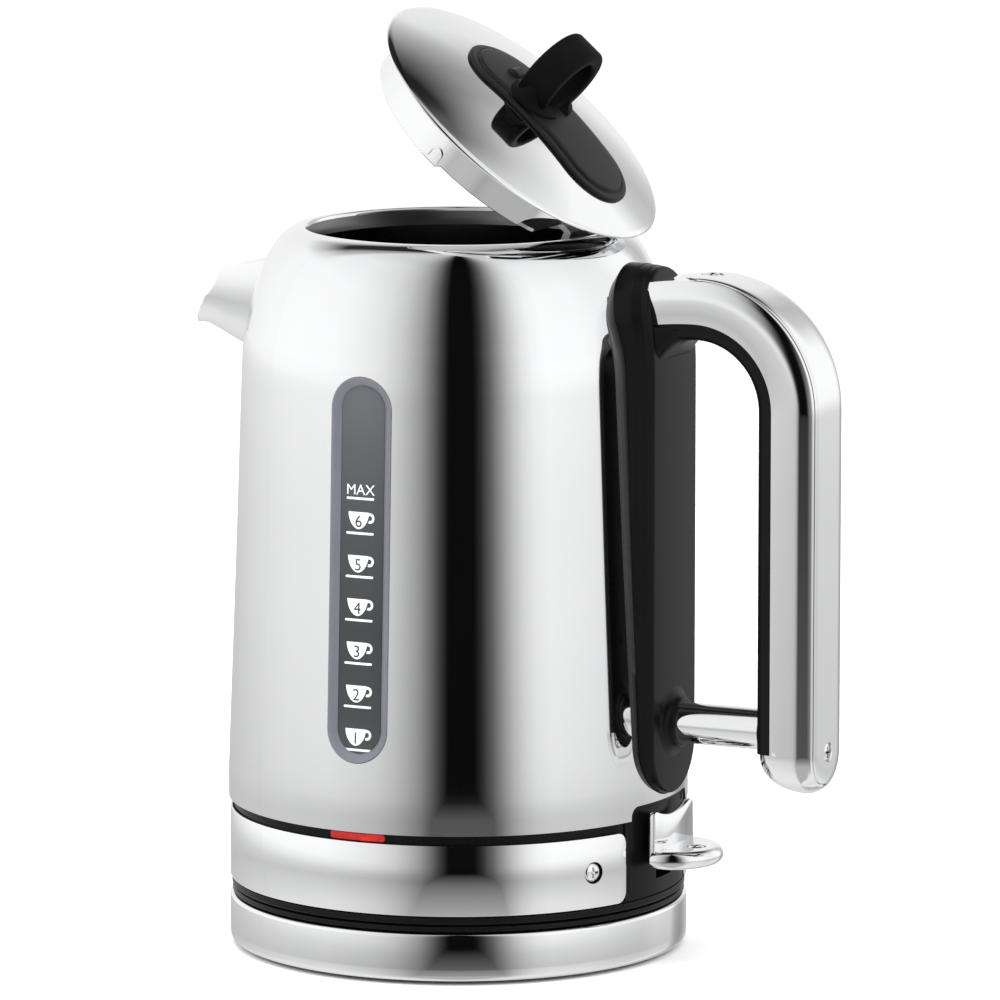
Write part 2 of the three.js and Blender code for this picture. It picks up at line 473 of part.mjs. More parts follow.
function lidParts() {
  const { r, under, edge, skirtR, pivotX: px, pivotZ: pz } = LID;
  const dome = [0, 0.25, 0.5, 0.7, 0.87, 1].map((t) => t * (r - 0.6));
  const coverLine = [...dome.map((q) => [q, domeHeight(q)]), [r, under + 0.55], [r - 0.5, under], [50.6, under],
    ...dome.map((q) => q * 0.9).reverse().map((q) => [q, domeHeight(q) - 1.2])];
  add("lid_cover", turned(coverLine), STEEL, lid);

  const skirt = lofted(Array.from({ length: 60 }, (_, i) => {
    const a = (2 * Math.PI * i) / 60;
    const at = (q, z) => [q * Math.cos(a), q * Math.sin(a), z];
    const low = skirtLow(a);
    const high = under + 0.2;
    return [at(skirtR, low), at(skirtR, high), at(skirtR - WALL, high), at(skirtR - WALL, low)];
  }), true);
  add("lid_skirt", skirt, STEEL, lid);
  const pan = disc(skirtR - 1.4, 233.3, 234.5).subtract(box(35.5, 60, -60, 60, 230, 240));
  add("lid_pan", pan, BRUSHED, lid);

  const arm = extruded(polygon([[24, 231.3], [24, 233], [39.4, 233], [40.6, 229.6], [46.6, 227.6],
    [px - 2, pz + 2.4], [px + 0.5, pz + 3], [px + 2.6, pz + 1.4], [px + 2.9, pz - 0.8], [px + 1.2, pz - 2.8],
    [46.4, 224.6], [38.6, 227.4], [37.4, 231.3]]), "y", -7.6, 7.6);
  add("lid_arm", arm.subtract(bar("y", px, pz, 1.9, -20, 20, 12)), BRUSHED, lid);
  for (const [name, y] of [["lid_screw_1", -4], ["lid_screw_2", 4]]) {
    add(name, disc(2.2, 229.8, 231, 12).translate(30, y, 0), BRUSHED, lid);
  }

  const { x: ix, halfLength: hl, halfWidth: hw, thick, panelInset, panelThick } = INSERT;
  const oval = (grow) => extruded(
    roundedRect(ix - hl - grow, -hw - grow, ix + hl + grow, hw + grow, hw + grow - 0.01), "z", 240, 270, 6);
  const layer = (low, high) => turned([...dome.slice(0, 5).map((q) => [q, domeHeight(q) + high]),
    ...dome.slice(1, 5).reverse().map((q) => [q, domeHeight(q) + low]), [0, domeHeight(0) + low]]);
  const knuckle = bar("y", -12.3, 255.6, 2.4, -3, 3, 12).intersect(layer(GAP, 5));
  const insert = layer(GAP, thick).intersect(oval(0)).add(layer(GAP, panelThick).intersect(oval(-panelInset)));
  add("lid_insert", insert.add(knuckle), SATIN_BLACK, lid);

  const { outer, hole, width, centre, footX, footY } = RING;
  const loop = turned([[hole, -width / 2 + 1.5], [hole + 1.5, -width / 2], [outer - 1.5, -width / 2],
    [outer, -width / 2 + 1.5], [outer, width / 2 - 1.5], [outer - 1.5, width / 2], [hole + 1.5, width / 2],
    [hole, width / 2 - 1.5]], 32).rotate([0, 90, 0]).translate(0, 0, centre);
  const bore = turned([[0, -20], [hole, -20], [hole, 20], [0, 20]], 32).rotate([0, 90, 0]).translate(0, 0, centre);
  const top = domeHeight(0) + panelThick;
  const flare = [[top - 4, footX, footY], [top + 0.6, footX, footY], [top + 1.6, footX - 2, footY - 0.5],
    [top + 4, width / 2 + 0.2, footY - 0.9], [centre - 6, width / 2 - 0.4, footY - 1.6]];
  const foot = lofted(flare.map(([z, fx, fy]) => Array.from({ length: 24 }, (_, i) => {
    const a = (2 * Math.PI * i) / 24;
    return [fx * Math.cos(a), fy * Math.sin(a), z];
  })));
  const floor = turned([[0, 240], [40, 240],
    ...dome.slice(0, 4).reverse().map((q) => [q, domeHeight(q) + panelThick + GAP])]);
  add("lid_ring", loop.add(foot.subtract(bore)).subtract(floor), RUBBER, lid);

  lid.position.set(-px, 0, -pz);
  lidPivot.position.set(px, 0, pz);
  lidPivot.rotation.y = rad(LID_OPEN);
  lidPivot.add(lid);
  root.add(lidPivot);
}

// ---------------------------------------------------------------- switch lever
function switchLever() {
  const { face, thick, half, top, padTop, padLow, padR, padX, screwX } = LEVER;
  const plateShape = new THREE.Shape();
  plateShape.moveTo(-half, padLow + 2);
  plateShape.lineTo(half, padLow + 2);
  plateShape.lineTo(half, top - 2);
  plateShape.absarc(half - 2, top - 2, 2, 0, Math.PI / 2);
  plateShape.quadraticCurveTo(0, top - 5.6, -half + 2, top);
  plateShape.absarc(-half + 2, top - 2, 2, Math.PI / 2, Math.PI);
  const plate = extruded(plateShape, "x", face - thick, face, 5);
  const edge = 2.2;
  const rim = turned([[0, padLow], [padR - edge, padLow], [padR - 0.6, padLow + 1], [padR, padLow + 3],
    [padR - 0.6, padTop - 1], [padR - edge, padTop], [0, padTop]], 32).translate(padX, 0, 0);
  const pad = rim.intersect(box(face - thick, 120, -30, 30, 20, 60));
  const { x: px, z: pz } = LEVER_PIVOT;
  const link = extruded(polygon([[px - 3.5, pz - 2.4], [px - 3.5, pz + 2.4], [face - 1, pz + 2.4],
    [face - 1, pz - 0.6], [px + 1, pz - 3.2]]), "y", -5, 5);
  const lever = plate.add(pad).add(link).subtract(bar("y", px, pz, 1.8, -10, 10, 12));
  const seat = disc(3.3, padTop - 0.8, padTop + 3, 16).translate(screwX, 0, 0);
  add("switch_lever", lever.subtract(seat), STEEL);
  add("lever_screw", crossScrew(2.9, 0.4, 2.9, 0.45).translate(screwX, 0, padTop - 0.05), STEEL);
}

powerBase();
jugConnector();
lowerHousing();
chromeBand();
heating();
shellAndSpout();
strap();
handle();
hingeBracket();
lidParts();
switchLever();
root.position.x = AXIS_SHIFT;

export default root;
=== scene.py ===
# Cordless electric kettle: polished steel jug on a power base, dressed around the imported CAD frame.
# Shapes are written in millimetres about the jug's own axis, as in the CAD source, and placed in metres.
import json
import math

import bmesh
import bpy
from mathutils import Matrix, Vector
from mathutils.bvhtree import BVHTree


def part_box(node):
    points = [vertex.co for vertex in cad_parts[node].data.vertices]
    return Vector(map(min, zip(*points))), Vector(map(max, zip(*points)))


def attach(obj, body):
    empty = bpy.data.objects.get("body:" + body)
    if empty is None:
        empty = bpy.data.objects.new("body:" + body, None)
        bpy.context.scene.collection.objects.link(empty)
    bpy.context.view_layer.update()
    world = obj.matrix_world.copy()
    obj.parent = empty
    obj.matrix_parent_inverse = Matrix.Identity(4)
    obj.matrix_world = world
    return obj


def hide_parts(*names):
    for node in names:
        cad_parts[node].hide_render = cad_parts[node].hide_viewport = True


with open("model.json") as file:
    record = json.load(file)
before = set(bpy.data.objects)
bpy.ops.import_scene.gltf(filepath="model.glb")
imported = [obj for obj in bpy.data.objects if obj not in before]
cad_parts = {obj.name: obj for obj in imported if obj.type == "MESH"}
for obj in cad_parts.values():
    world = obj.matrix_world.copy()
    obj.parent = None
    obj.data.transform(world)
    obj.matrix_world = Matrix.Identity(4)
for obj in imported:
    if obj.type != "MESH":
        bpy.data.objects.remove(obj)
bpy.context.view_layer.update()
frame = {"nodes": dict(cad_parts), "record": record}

# ---------------------------------------------------------------- driving dimensions, mm
low_corner, high_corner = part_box("base_skirt")
AXIS_X = (low_corner[0] + high_corner[0]) / 2  # the jug's axis in the row frame, m
MM = 0.001
WALL = 1.0
AROUND = 192  # segments of a large turned piece

BASE_R, SKIRT_LOW, SKIRT_TOP, BASE_TOP = 77.7, 1.2, 17.4, 19.9
OUTLET_R, OUTLET_Z = 5.2, 10.3  # the cord's outlet in the base
HOUSING_R = 76.3
BAND_LOW, BAND_HIGH, BAND_R, BAND_HALF_GAP, BAND_CORNER = 23.3, 47.3, 77.6, 23.4, 4.0
BAND_SCREW_AT = 28.4  # degrees either side of the lever
RECESS_HALF, RECESS_TOP, RECESS_R = 21.6, 55.3, 3.5
WIN_HALF, WIN_LOW, WIN_HIGH, WIN_RIM = 11.0, 73.8, 202.6, 3.0
STRAP_HALF, STRAP_LOW, STRAP_HIGH = 17.6, 56.7, 235.8
STRAP_FACE, STRAP_CREST, STRAP_BEND = 80.8, 75.8, 200.0  # the face, its top, and where it starts to lean
STRUT_Z, STRUT_R, STRUT_FROM, STRUT_TO = 81.5, 7.0, 83.8, 115.0
H_HALF, H_OUTER, H_INNER, H_TOP = 14.3, 137.0, 117.0, 233.6  # the handle's half width, two faces and top
H_BEND, H_LOW, H_ROOT, H_TOE = 43.6, 61.2, 76.5, 14.0  # its bend, lower end, root and inner corner at the end
SHELL_DEPTH = 15.2  # of the steel part of the handle, from its outer face
CAP_ROUND = 5.0  # of the steel end cap's inner edges
GROOVE, STRIP_EDGE = 3.1, 3.5  # of the handle's face: the recess and the strip in it, from the sides
STRIP_SCREW_TOP, STRIP_SCREW_LOW = 94.2, 75.6  # places of the strip's screws, along X and in height
LID_R, LID_UNDER, LID_EDGE, LID_DOME = 55.66, 245.1, 246.2, 8.4
LID_SKIRT_R, LID_SKIRT_LOW, LID_RELIEF, PIVOT_X, PIVOT_Z = 49.2, 232.0, 2.5, 59.66, 230.93
LID_OPEN = 40.79  # degrees
COLLAR_R, COLLAR_TOP = 51.5, 244.4
INSERT_X, INSERT_LEN, INSERT_HALF, PANEL_THICK = 6.9, 36.2, 16.6, 2.2
RING_R, RING_HOLE, RING_WIDTH, RING_Z, FOOT_X, FOOT_Y = 15.0, 9.8, 12.0, 266.6, 9.6, 15.6
LEVER_FACE, LEVER_THICK, LEVER_HALF, LEVER_TOP = 80.7, 2.4, 15.8, 53.2
PAD_TOP, PAD_LOW, PAD_R, PAD_X, LEVER_SCREW_X = 39.7, 33.5, 17.5, 79.8, 89.0

# Outer line of the shell as (radius, height), from its lower edge over the shoulder into the mouth.
SHELL_LINE = [
    (78.1, 50.6), (78.0, 62), (76.5, 101), (75.0, 140), (73.4, 186), (72.6, 204), (71.1, 213), (69.2, 221.5),
    (66.9, 228.6), (64.3, 234.6), (61.0, 240), (57.5, 243.4), (54.6, 244.7), (52.8, 244.8), (51.5, 244.4),
    (50.3, 241.4), (49.9, 239),
]


# ---------------------------------------------------------------- lines and outlines
def spline(points, per):
    """Catmull-Rom curve through the points, with `per` steps between two of them."""
    line = []
    for i in range(len(points) - 1):
        p0 = points[max(i - 1, 0)]
        p1, p2 = points[i], points[i + 1]
        p3 = points[min(i + 2, len(points) - 1)]
        for j in range(per):
            t = j / per
            line.append(tuple(
                0.5 * (2 * b + (c - a) * t + (2 * a - 5 * b + 4 * c - d) * t * t
                       + (3 * b - a - 3 * c + d) * t ** 3)
                for a, b, c, d in zip(p0, p1, p2, p3)
            ))
    return line + [tuple(points[-1])]


def rounded(corners, steps=5):
    """Polygon whose corners are (a, b) or (a, b, radius); each corner with a radius becomes an arc."""
    line = []
    count = len(corners)
    for i, corner in enumerate(corners):
        radius = corner[2] if len(corner) > 2 else 0
        here = Vector(corner[:2])
        if not radius:
            line.append(tuple(here))
            continue
        to_last = (Vector(corners[i - 1][:2]) - here).normalized()
        to_next = (Vector(corners[(i + 1) % count][:2]) - here).normalized()
        half = math.acos(max(-1, min(1, to_last.dot(to_next)))) / 2
        reach = radius / math.tan(half)
        centre = here + (to_last + to_next).normalized() * (radius / math.sin(half))
        start = here + to_last * reach - centre
        end = here + to_next * reach - centre
        turn = math.atan2(start.x * end.y - start.y * end.x, start.dot(end))
        for j in range(steps + 1):
            a = turn * j / steps
            line.append((centre.x + start.x * math.cos(a) - start.y * math.sin(a),
                         centre.y + start.x * math.sin(a) + start.y * math.cos(a)))
    return line


def stadium(half, low, high, steps=24):
    """Closed outline of a slot with round ends of radius `half`, standing along b, as (a, b) points."""
    line = []
    for centre, start in ((high - half, 0.0), (low + half, math.pi)):
        for j in range(steps + 1):
            a = start + math.pi * j / steps
            line.append((half * math.cos(a), centre + half * math.sin(a)))
    return line


def offset(line, d):
    """The open line moved sideways by d, outwards for a line that runs upwards on the right."""
    moved = []
    for i, (r, z) in enumerate(line):
        r0, z0 = line[max(i - 1, 0)]
        r1, z1 = line[min(i + 1, len(line) - 1)]
        length = math.hypot(r1 - r0, z1 - z0)
        moved.append((r + d * (z1 - z0) / length, z - d * (r1 - r0) / length))
    return moved


SHELL = [(min(r, SHELL_LINE[0][0]), z) for r, z in spline(SHELL_LINE, 6)]


def shell_radius(z):
    """Radius of the shell's outer face at a height below the crest."""
    for (r0, z0), (r1, z1) in zip(SHELL, SHELL[1:]):
        if z0 <= z <= z1:
            return r0 + (r1 - r0) * (z - z0) / (z1 - z0)
    return SHELL[0][0]


# ---------------------------------------------------------------- meshes
def make(name, verts, faces, sharp=32, merge=1e-4):
    """Object from millimetre points about the jug's axis; edges sharper than `sharp` degrees stay crisp."""
    mesh = bpy.data.meshes.new(name)
    mesh.from_pydata([((x * MM + AXIS_X), y * MM, z * MM) for x, y, z in verts], [], faces)
    shape = bmesh.new()
    shape.from_mesh(mesh)
    bmesh.ops.remove_doubles(shape, verts=shape.verts, dist=merge * MM)
    bmesh.ops.recalc_face_normals(shape, faces=shape.faces)
    shape.to_mesh(mesh)
    shape.free()
    obj = bpy.data.objects.new(name, mesh)
    bpy.context.scene.collection.objects.link(obj)
    crisp(obj, sharp)
    return obj


def crisp(obj, sharp):
    """Smooth shading with crisp edges above an angle in degrees."""
    shape = bmesh.new()
    shape.from_mesh(obj.data)
    for face in shape.faces:
        face.smooth = True
    for edge in shape.edges:
        angle = edge.calc_face_angle(math.pi) if len(edge.link_faces) == 2 else 0
        edge.smooth = angle < math.radians(sharp)
    shape.to_mesh(obj.data)
    shape.free()


def revolve(name, profile, segments=AROUND, axis_x=0.0):
    """Solid of revolution of a closed (radius, height) outline."""
    count = len(profile)
    verts = []
    for i in range(segments):
        a = 2 * math.pi * i / segments
        verts += [(axis_x + r * math.cos(a), r * math.sin(a), z) for r, z in profile]
    faces = []
    for i in range(segments):
        for j in range(count):
            k = (j + 1) % count
            if profile[j][0] < 1e-6 and profile[k][0] < 1e-6:
                continue
            a, b = i * count, ((i + 1) % segments) * count
            faces.append((a + j, b + j, b + k, a + k))
    return make(name, verts, faces)


def loft(name, rings, sharp=32, joined=False):
    """Surface skinned over closed rings of points, capped at both ends or joined end to end."""
    count = len(rings[0])
    verts = [p for ring in rings for p in ring]
    faces = []
    for i in range(len(rings) if joined else len(rings) - 1):
        for j in range(count):
            k = (j + 1) % count
            a, b = i * count, ((i + 1) % len(rings)) * count
            faces.append((a + j, a + k, b + k, b + j))
    if not joined:
        faces.append(tuple(range(count))[::-1])
        faces.append(tuple((len(rings) - 1) * count + j for j in range(count)))
    return make(name, verts, faces, sharp)


def across(axis, a, b, c):
    """Point at c along an axis; a and b are y and z across x, x and z across y, x and y across z."""
    return {"x": (c, a, b), "y": (a, c, b), "z": (a, b, c)}[axis]


def prism(name, outline, axis, start, end):
    """Outline extruded along an axis."""
    return loft(name, [[across(axis, a, b, c) for a, b in outline] for c in (start, end)])


def spun(name, axis, u, v, profile, segments=64):
    """Round piece along an axis from (position, radius) steps; u and v are its centre across the axis."""
    turns = [2 * math.pi * i / segments for i in range(segments)]
    return loft(name, [[across(axis, u + r * math.cos(a), v + r * math.sin(a), c) for a in turns]
                       for c, r in profile])


def half_stadium(half, low, high, inset=0.0, steps=14, rows=24):
    """Right-hand half, from top to bottom, of a slot with round ends that stands along b."""
    r = half - inset
    line = []
    for j in range(steps + 1):
        t = math.pi / 2 * j / steps
        line.append((r * math.sin(t), high - half + r * math.cos(t)))
    for j in range(1, rows):
        line.append((r, high - half + (low - high + 2 * half) * j / rows))
    for j in range(steps + 1):
        t = math.pi / 2 * j / steps
        line.append((r * math.cos(t), low + half - r * math.sin(t)))
    return line


def pad(name, layers, place, columns=1, hollow=False):
    """Solid that follows a surface. Its layers, from one face to the other, are (half outline, depth).

    The half outline runs down the right-hand side, and place(a, b, depth) puts a point on the surface. A hollow
    pad is a frame: its layers run round the section and join up."""
    verts, faces = [], []
    size = 0
    for half, depth in layers:
        loop = list(half)
        for a, b in (half[-1], half[0]):
            flat = [(a * (1 - 2 * j / columns), b) for j in range(1, columns)] if abs(a) > 1e-6 else []
            if (a, b) == tuple(half[-1]):
                loop += flat + [(-c, d) for c, d in reversed(half)]
            else:
                loop += [(-c, d) for c, d in flat]
        size = len(loop)
        verts += [place(a, b, depth) for a, b in loop]
    count = len(layers)
    for i in range(count if hollow else count - 1):
        here, there = i * size, ((i + 1) % count) * size
        faces += [(here + j, here + (j + 1) % size, there + (j + 1) % size, there + j) for j in range(size)]
    for half, depth in [] if hollow else (layers[0], layers[-1]):
        start = len(verts)
        for a, b in half:
            verts += [place(a * (1 - 2 * j / columns), b, depth) for j in range(columns + 1)]
        for i in range(len(half) - 1):
            row = start + i * (columns + 1)
            below = row + columns + 1
            faces += [(row + j, row + j + 1, below + 1 + j, below + j) for j in range(columns)]
    return make(name, verts, faces)


def placed(obj, spot, turn=Matrix.Identity(4)):
    """Moves a piece made about the jug's axis, on the table, to a spot in millimetres; it is turned first."""
    x, y, z = spot
    obj.data.transform(Matrix.Translation((AXIS_X + x * MM, y * MM, z * MM)) @ turn
                       @ Matrix.Translation((-AXIS_X, 0, 0)))
    return obj


def carve(obj, *cutters, operation="DIFFERENCE"):
    """Boolean with each cutter in turn. Faces that stay keep the smooth normals that they had before."""
    before = [obj.data.copy()]
    for cutter in cutters:
        if operation == "UNION":
            before.append(cutter.data.copy())
        step = obj.modifiers.new("carve", "BOOLEAN")
        step.operation = operation
        step.solver = "EXACT"
        step.object = cutter
        done = bpy.data.meshes.new_from_object(obj.evaluated_get(bpy.context.evaluated_depsgraph_get()))
        obj.modifiers.clear()
        obj.data = done
    for cutter in cutters:
        bpy.data.objects.remove(cutter)
    crisp(obj, 32)
    keep_normals(obj, before)
    return obj


def keep_normals(obj, before):
    """Gives the faces that still lie on one of the surfaces `before` the normals of that surface."""
    points, corners, triangles = [], [], []
    for surface in before:
        surface.calc_loop_triangles()
        first, first_corner = len(points), len(corners)
        points += [v.co.copy() for v in surface.vertices]
        corners += [Vector(n.vector) for n in surface.corner_normals]
        triangles += [([k + first for k in t.vertices], [k + first_corner for k in t.loops])
                      for t in surface.loop_triangles]
    tree = BVHTree.FromPolygons(points, [t[0] for t in triangles])
    mesh = obj.data
    normals = [Vector((0, 0, 0))] * len(mesh.loops)
    for face in mesh.polygons:
        hit, normal, index, distance = tree.find_nearest(face.center)
        if hit is None or distance > 0.02 * MM or normal.dot(face.normal) < 0.99:
            continue
        for i in face.loop_indices:
            corner = mesh.vertices[mesh.loops[i].vertex_index].co
            hit, normal, index, distance = tree.find_nearest(corner.lerp(face.center, 0.02))
            around, loops = triangles[index]
            weights = barycentric(hit, *(points[k] for k in around))
            mixed = sum((corners[k] * w for k, w in zip(loops, weights)), Vector((0, 0, 0)))
            normals[i] = mixed.normalized()
    mesh.normals_split_custom_set(normals)


def barycentric(p, a, b, c):
    v0, v1, v2 = b - a, c - a, p - a
    d00, d01, d11 = v0.dot(v0), v0.dot(v1), v1.dot(v1)
    d20, d21 = v2.dot(v0), v2.dot(v1)
    size = d00 * d11 - d01 * d01
    if abs(size) < 1e-24:
        return (1, 0, 0)
    v = (d11 * d20 - d01 * d21) / size
    w = (d00 * d21 - d01 * d20) / size
    return (1 - v - w, v, w)


def join(name, *parts):
    """One object out of several, each with its own shading kept."""
    with bpy.context.temp_override(active_object=parts[0], object=parts[0], selected_objects=list(parts),
                                   selected_editable_objects=list(parts)):
        bpy.ops.object.join()
    parts[0].name = name
    parts[0].data.name = name
    return parts[0]


LID_TURN = (Matrix.Translation((PIVOT_X * MM + AXIS_X, 0, PIVOT_Z * MM))
            @ Matrix.Rotation(math.radians(LID_OPEN), 4, "Y")
            @ Matrix.Translation((-PIVOT_X * MM - AXIS_X, 0, -PIVOT_Z * MM)))


def piece(obj, body, slot, *nodes, material=None):
    """Settles a finished piece: the material of its slot or the one given, the nodes it stands for and the body it
    rides on.
    """
    if body == "lid":
        obj.data.transform(LID_TURN)
    obj.data.materials.clear()
    obj.data.materials.append(material or SLOT_MATERIAL[slot])
    if nodes:
        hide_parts(*nodes)
    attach(obj, body)
    return obj


# ---------------------------------------------------------------- materials
def add(tree, kind, output, inputs, **settings):
    """Adds a node and gives one of its outputs; an input is a value or another node's output."""
    node = tree.nodes.new("ShaderNode" + kind)
    for key, value in settings.items():
        setattr(node, key, value)
    for key, value in inputs.items():
        if isinstance(value, bpy.types.NodeSocket):
            tree.links.new(value, node.inputs[key])
        else:
            node.inputs[key].default_value = value
    return node.outputs[output]


def noise(tree, scale, detail, roughness=0.5, stretch=(1, 1, 1)):
    """Noise over the object, with its coordinates stretched along each axis."""
    source = add(tree, "TexCoord", "Object", {})
    where = add(tree, "Mapping", "Vector", {"Scale": stretch, "Vector": source})
    return add(tree, "TexNoise", "Fac", {"Scale": scale, "Detail": detail, "Roughness": roughness, "Vector": where})


def remap(tree, value, low, high):
    """A 0 to 1 value spread over a range."""
    return add(tree, "MapRange", "Result", {"To Min": low, "To Max": high, "Value": value})


def tint(tree, value, dark, light):
    """A 0 to 1 value as a colour between two colours."""
    return add(tree, "Mix", "Result", {"A": (*dark, 1), "B": (*light, 1), "Factor": value}, data_type="RGBA")


def bump(tree, height, strength, distance):
    return add(tree, "Bump", "Normal", {"Strength": strength, "Distance": distance, "Height": height})


def ramp_of(tree, value, stops, kind="LINEAR"):
    """A value looked up in a row of (place, colour) stops, or (place, level) stops for a grey."""
    ramp = tree.nodes.new("ShaderNodeValToRGB")
    ramp.color_ramp.interpolation = kind
    ramp.color_ramp.elements.remove(ramp.color_ramp.elements[1])
    for i, (at, shade) in enumerate(stops):
        stop = ramp.color_ramp.elements[0] if i == 0 else ramp.color_ramp.elements.new(at)
        stop.position = at
        stop.color = (*shade, 1) if isinstance(shade, tuple) else (shade, shade, shade, 1)
    tree.links.new(value, ramp.inputs["Fac"])
    return ramp.outputs["Color"]


def painted(name, look):
    """Material whose shader inputs are what look(tree) gives: values or the outputs of nodes."""
    material = bpy.data.materials.new(name)
    material.use_nodes = True
    tree = material.node_tree
    shader = tree.nodes["Principled BSDF"]
    for key, value in look(tree).items():
        if isinstance(value, bpy.types.NodeSocket):
            tree.links.new(value, shader.inputs[key])
        else:
            shader.inputs[key].default_value = value
    return material


def polished_steel(tree):
    """Mirror-polished steel: a faint haze that varies over the surface, as buffing leaves it."""
    haze = noise(tree, 28, 2)
    fine = noise(tree, 900, 2, stretch=(1, 1, 0.15))
    return {"Base Color": tint(tree, haze, (0.868, 0.872, 0.882), (0.892, 0.896, 0.903)),
            "Roughness": remap(tree, fine, 0.018, 0.052), "Metallic": 1.0}


def plain_steel(tree):
    """Brushed sheet steel: fine streaks along one way."""
    streaks = noise(tree, 1600, 4, 0.7, (1, 0.04, 1))
    return {"Base Color": tint(tree, streaks, (0.5, 0.505, 0.51), (0.66, 0.665, 0.67)),
            "Roughness": remap(tree, streaks, 0.22, 0.4), "Normal": bump(tree, streaks, 0.15, 0.00005),
            "Metallic": 1.0}


def inner_steel_painted_shade(tree):
    """The drawn inside of the jug: satin steel, painted dark for the shade inside the jug, with a patchy tone and
    gloss.
    """
    patchy_tone = noise(tree, 60, 4, stretch=(1, 1, 0.2))
    # painted shade: steel this dark stands in for the shade inside the jug
    return {"Base Color": tint(tree, patchy_tone, (0.16, 0.16, 0.165), (0.24, 0.24, 0.245)),
            "Roughness": remap(tree, patchy_tone, 0.28, 0.42), "Metallic": 1.0}


def moulded(name, dark, light, rough, grain, strength, specular=0.5):
    """Moulded plastic or rubber with a fine grain and a slightly uneven gloss."""
    def look(tree):
        cloud = noise(tree, 40, 3)
        texture = noise(tree, grain, 2, 0.6)
        return {"Base Color": tint(tree, cloud, dark, light), "Roughness": remap(tree, cloud, *rough),
                "Normal": bump(tree, texture, strength, 0.00004), "Specular IOR Level": specular}
    return painted(name, look)


def smoked_lens(tree):
    """Smoked clear plastic with the shaded inside of the jug painted into its colour: darkest a third of the way up
    and lighter towards the top.
    """
    height = add(tree, "SeparateXYZ", "Z", {"Vector": add(tree, "TexCoord", "Object", {})})
    share = add(tree, "MapRange", "Result",
                {"From Min": WIN_LOW * MM, "From Max": WIN_HIGH * MM, "Value": height})
    # painted shade of the jug's inside seen through the lens, darkest a third of the way up and lighter towards the
    # top
    levels = [(0.0, 0.052), (0.12, 0.038), (0.35, 0.034), (0.62, 0.05), (0.82, 0.072), (1.0, 0.1)]
    painted_inside_shade = ramp_of(tree, share, [(at, (level * 0.96, level, level * 1.09)) for at, level in levels])
    return {"Base Color": painted_inside_shade, "Roughness": remap(tree, noise(tree, 60, 2), 0.1, 0.18),
            "Specular IOR Level": 0.35}


def lamp_red(tree):
    """Red lamp lens with the glow of the neon behind it."""
    glow = noise(tree, 260, 1)
    return {"Base Color": tint(tree, glow, (0.16, 0.004, 0.003), (0.5, 0.012, 0.008)),
            "Emission Color": tint(tree, glow, (0.12, 0.0, 0.0), (1.0, 0.05, 0.02)),
            "Emission Strength": 0.22, "Roughness": 0.12}


def scale_paint(tree):
    """Pale paint of the scale marks, printed a little unevenly."""
    return {"Base Color": tint(tree, noise(tree, 700, 2), (0.66, 0.72, 0.76), (0.78, 0.83, 0.87)),
            "Roughness": 0.35}


SHADED_INNER = painted("inner_steel_painted_shade", inner_steel_painted_shade)
PAINT = painted("scale_paint", scale_paint)
SATIN = moulded(
    "black_satin_plastic", (0.006, 0.006, 0.0065), (0.009, 0.009, 0.0095), (0.36, 0.46), 2600, 0.16, 0.2)
INK = moulded("scale_ink", (0.012, 0.013, 0.016), (0.02, 0.021, 0.024), (0.3, 0.4), 2000, 0.05)
SLOT_MATERIAL = {
    "polished_steel": painted("polished_steel", polished_steel),
    "plain_steel": painted("plain_steel", plain_steel),
    "smoked_window": painted("smoked_window", smoked_lens),
    "red_lens": painted("red_lens", lamp_red),
    "black_plastic": moulded(
        "black_plastic", (0.003, 0.003, 0.0033), (0.005, 0.005, 0.0054), (0.24, 0.34), 2600, 0.1, 0.13),
    "black_rubber": moulded(
        "black_rubber", (0.002, 0.002, 0.0022), (0.004, 0.004, 0.0043), (0.5, 0.64), 1800, 0.25, 0.07),
    "grey_plastic": moulded(
        "grey_plastic", (0.12, 0.125, 0.145), (0.15, 0.155, 0.18), (0.2, 0.3), 2000, 0.08),
}
for part in frame["record"]["subparts"]:
    node = frame["nodes"][part["node"]]
    node.data.materials.clear()
    node.data.materials.append(SLOT_MATERIAL[part["material_slot"]])


# ---------------------------------------------------------------- studio
# The room that the steel reflects: brightness by direction, in degrees about +Z from +X and above the level.
# Its dark gap makes the upright black stripes, and its dark part high up at the back makes the lid's shade.
WALLS = [
    (-180, 0.97), (-160, 0.99), (-134, 0.97), (-118, 0.88), (-106, 0.78), (-95, 0.61), (-89, 0.47), (-84, 0.35),
    (-79, 0.19), (-74, 0.06), (-69.5, 0.004), (-55.5, 0.004), (-52, 0.03), (-47, 0.12), (-42, 0.3), (-36, 0.56),
    (-30, 0.78), (-24, 0.92), (-16, 1.0), (8, 0.97), (24, 0.9), (42, 0.88), (54, 0.98), (70, 0.98), (78, 0.6),
    (86, 0.5), (93, 0.6), (100, 0.8), (112, 0.84), (137, 0.86), (152, 0.9), (170, 0.95),
]
FALL = [
    (-60, 0.8), (-25, 0.76), (-14, 0.6), (-12, 0.56), (-9, 0.66), (-6, 0.84), (-3, 0.97), (3, 1.0), (30, 0.96),
    (55, 0.84), (75, 0.64), (90, 0.55),
]
TABLE = [(-35, 0.42), (-15, 0.16), (-9.5, 0.055), (-7, 0.0)]  # least brightness of what lies below
BEHIND = [(-180, 0.5), (-165, 0.0), (40, 0.0), (62, 0.9), (72, 1.0), (165, 1.0), (179, 0.5)]
ABOVE = [(31, 0.0), (41, 0.42), (50, 0.97)]
ROOM_LEVEL, BACKDROP_LEVEL, FILL_LEVEL = 1.13, 1.05, 1.0  # for reflections, the camera and diffuse light
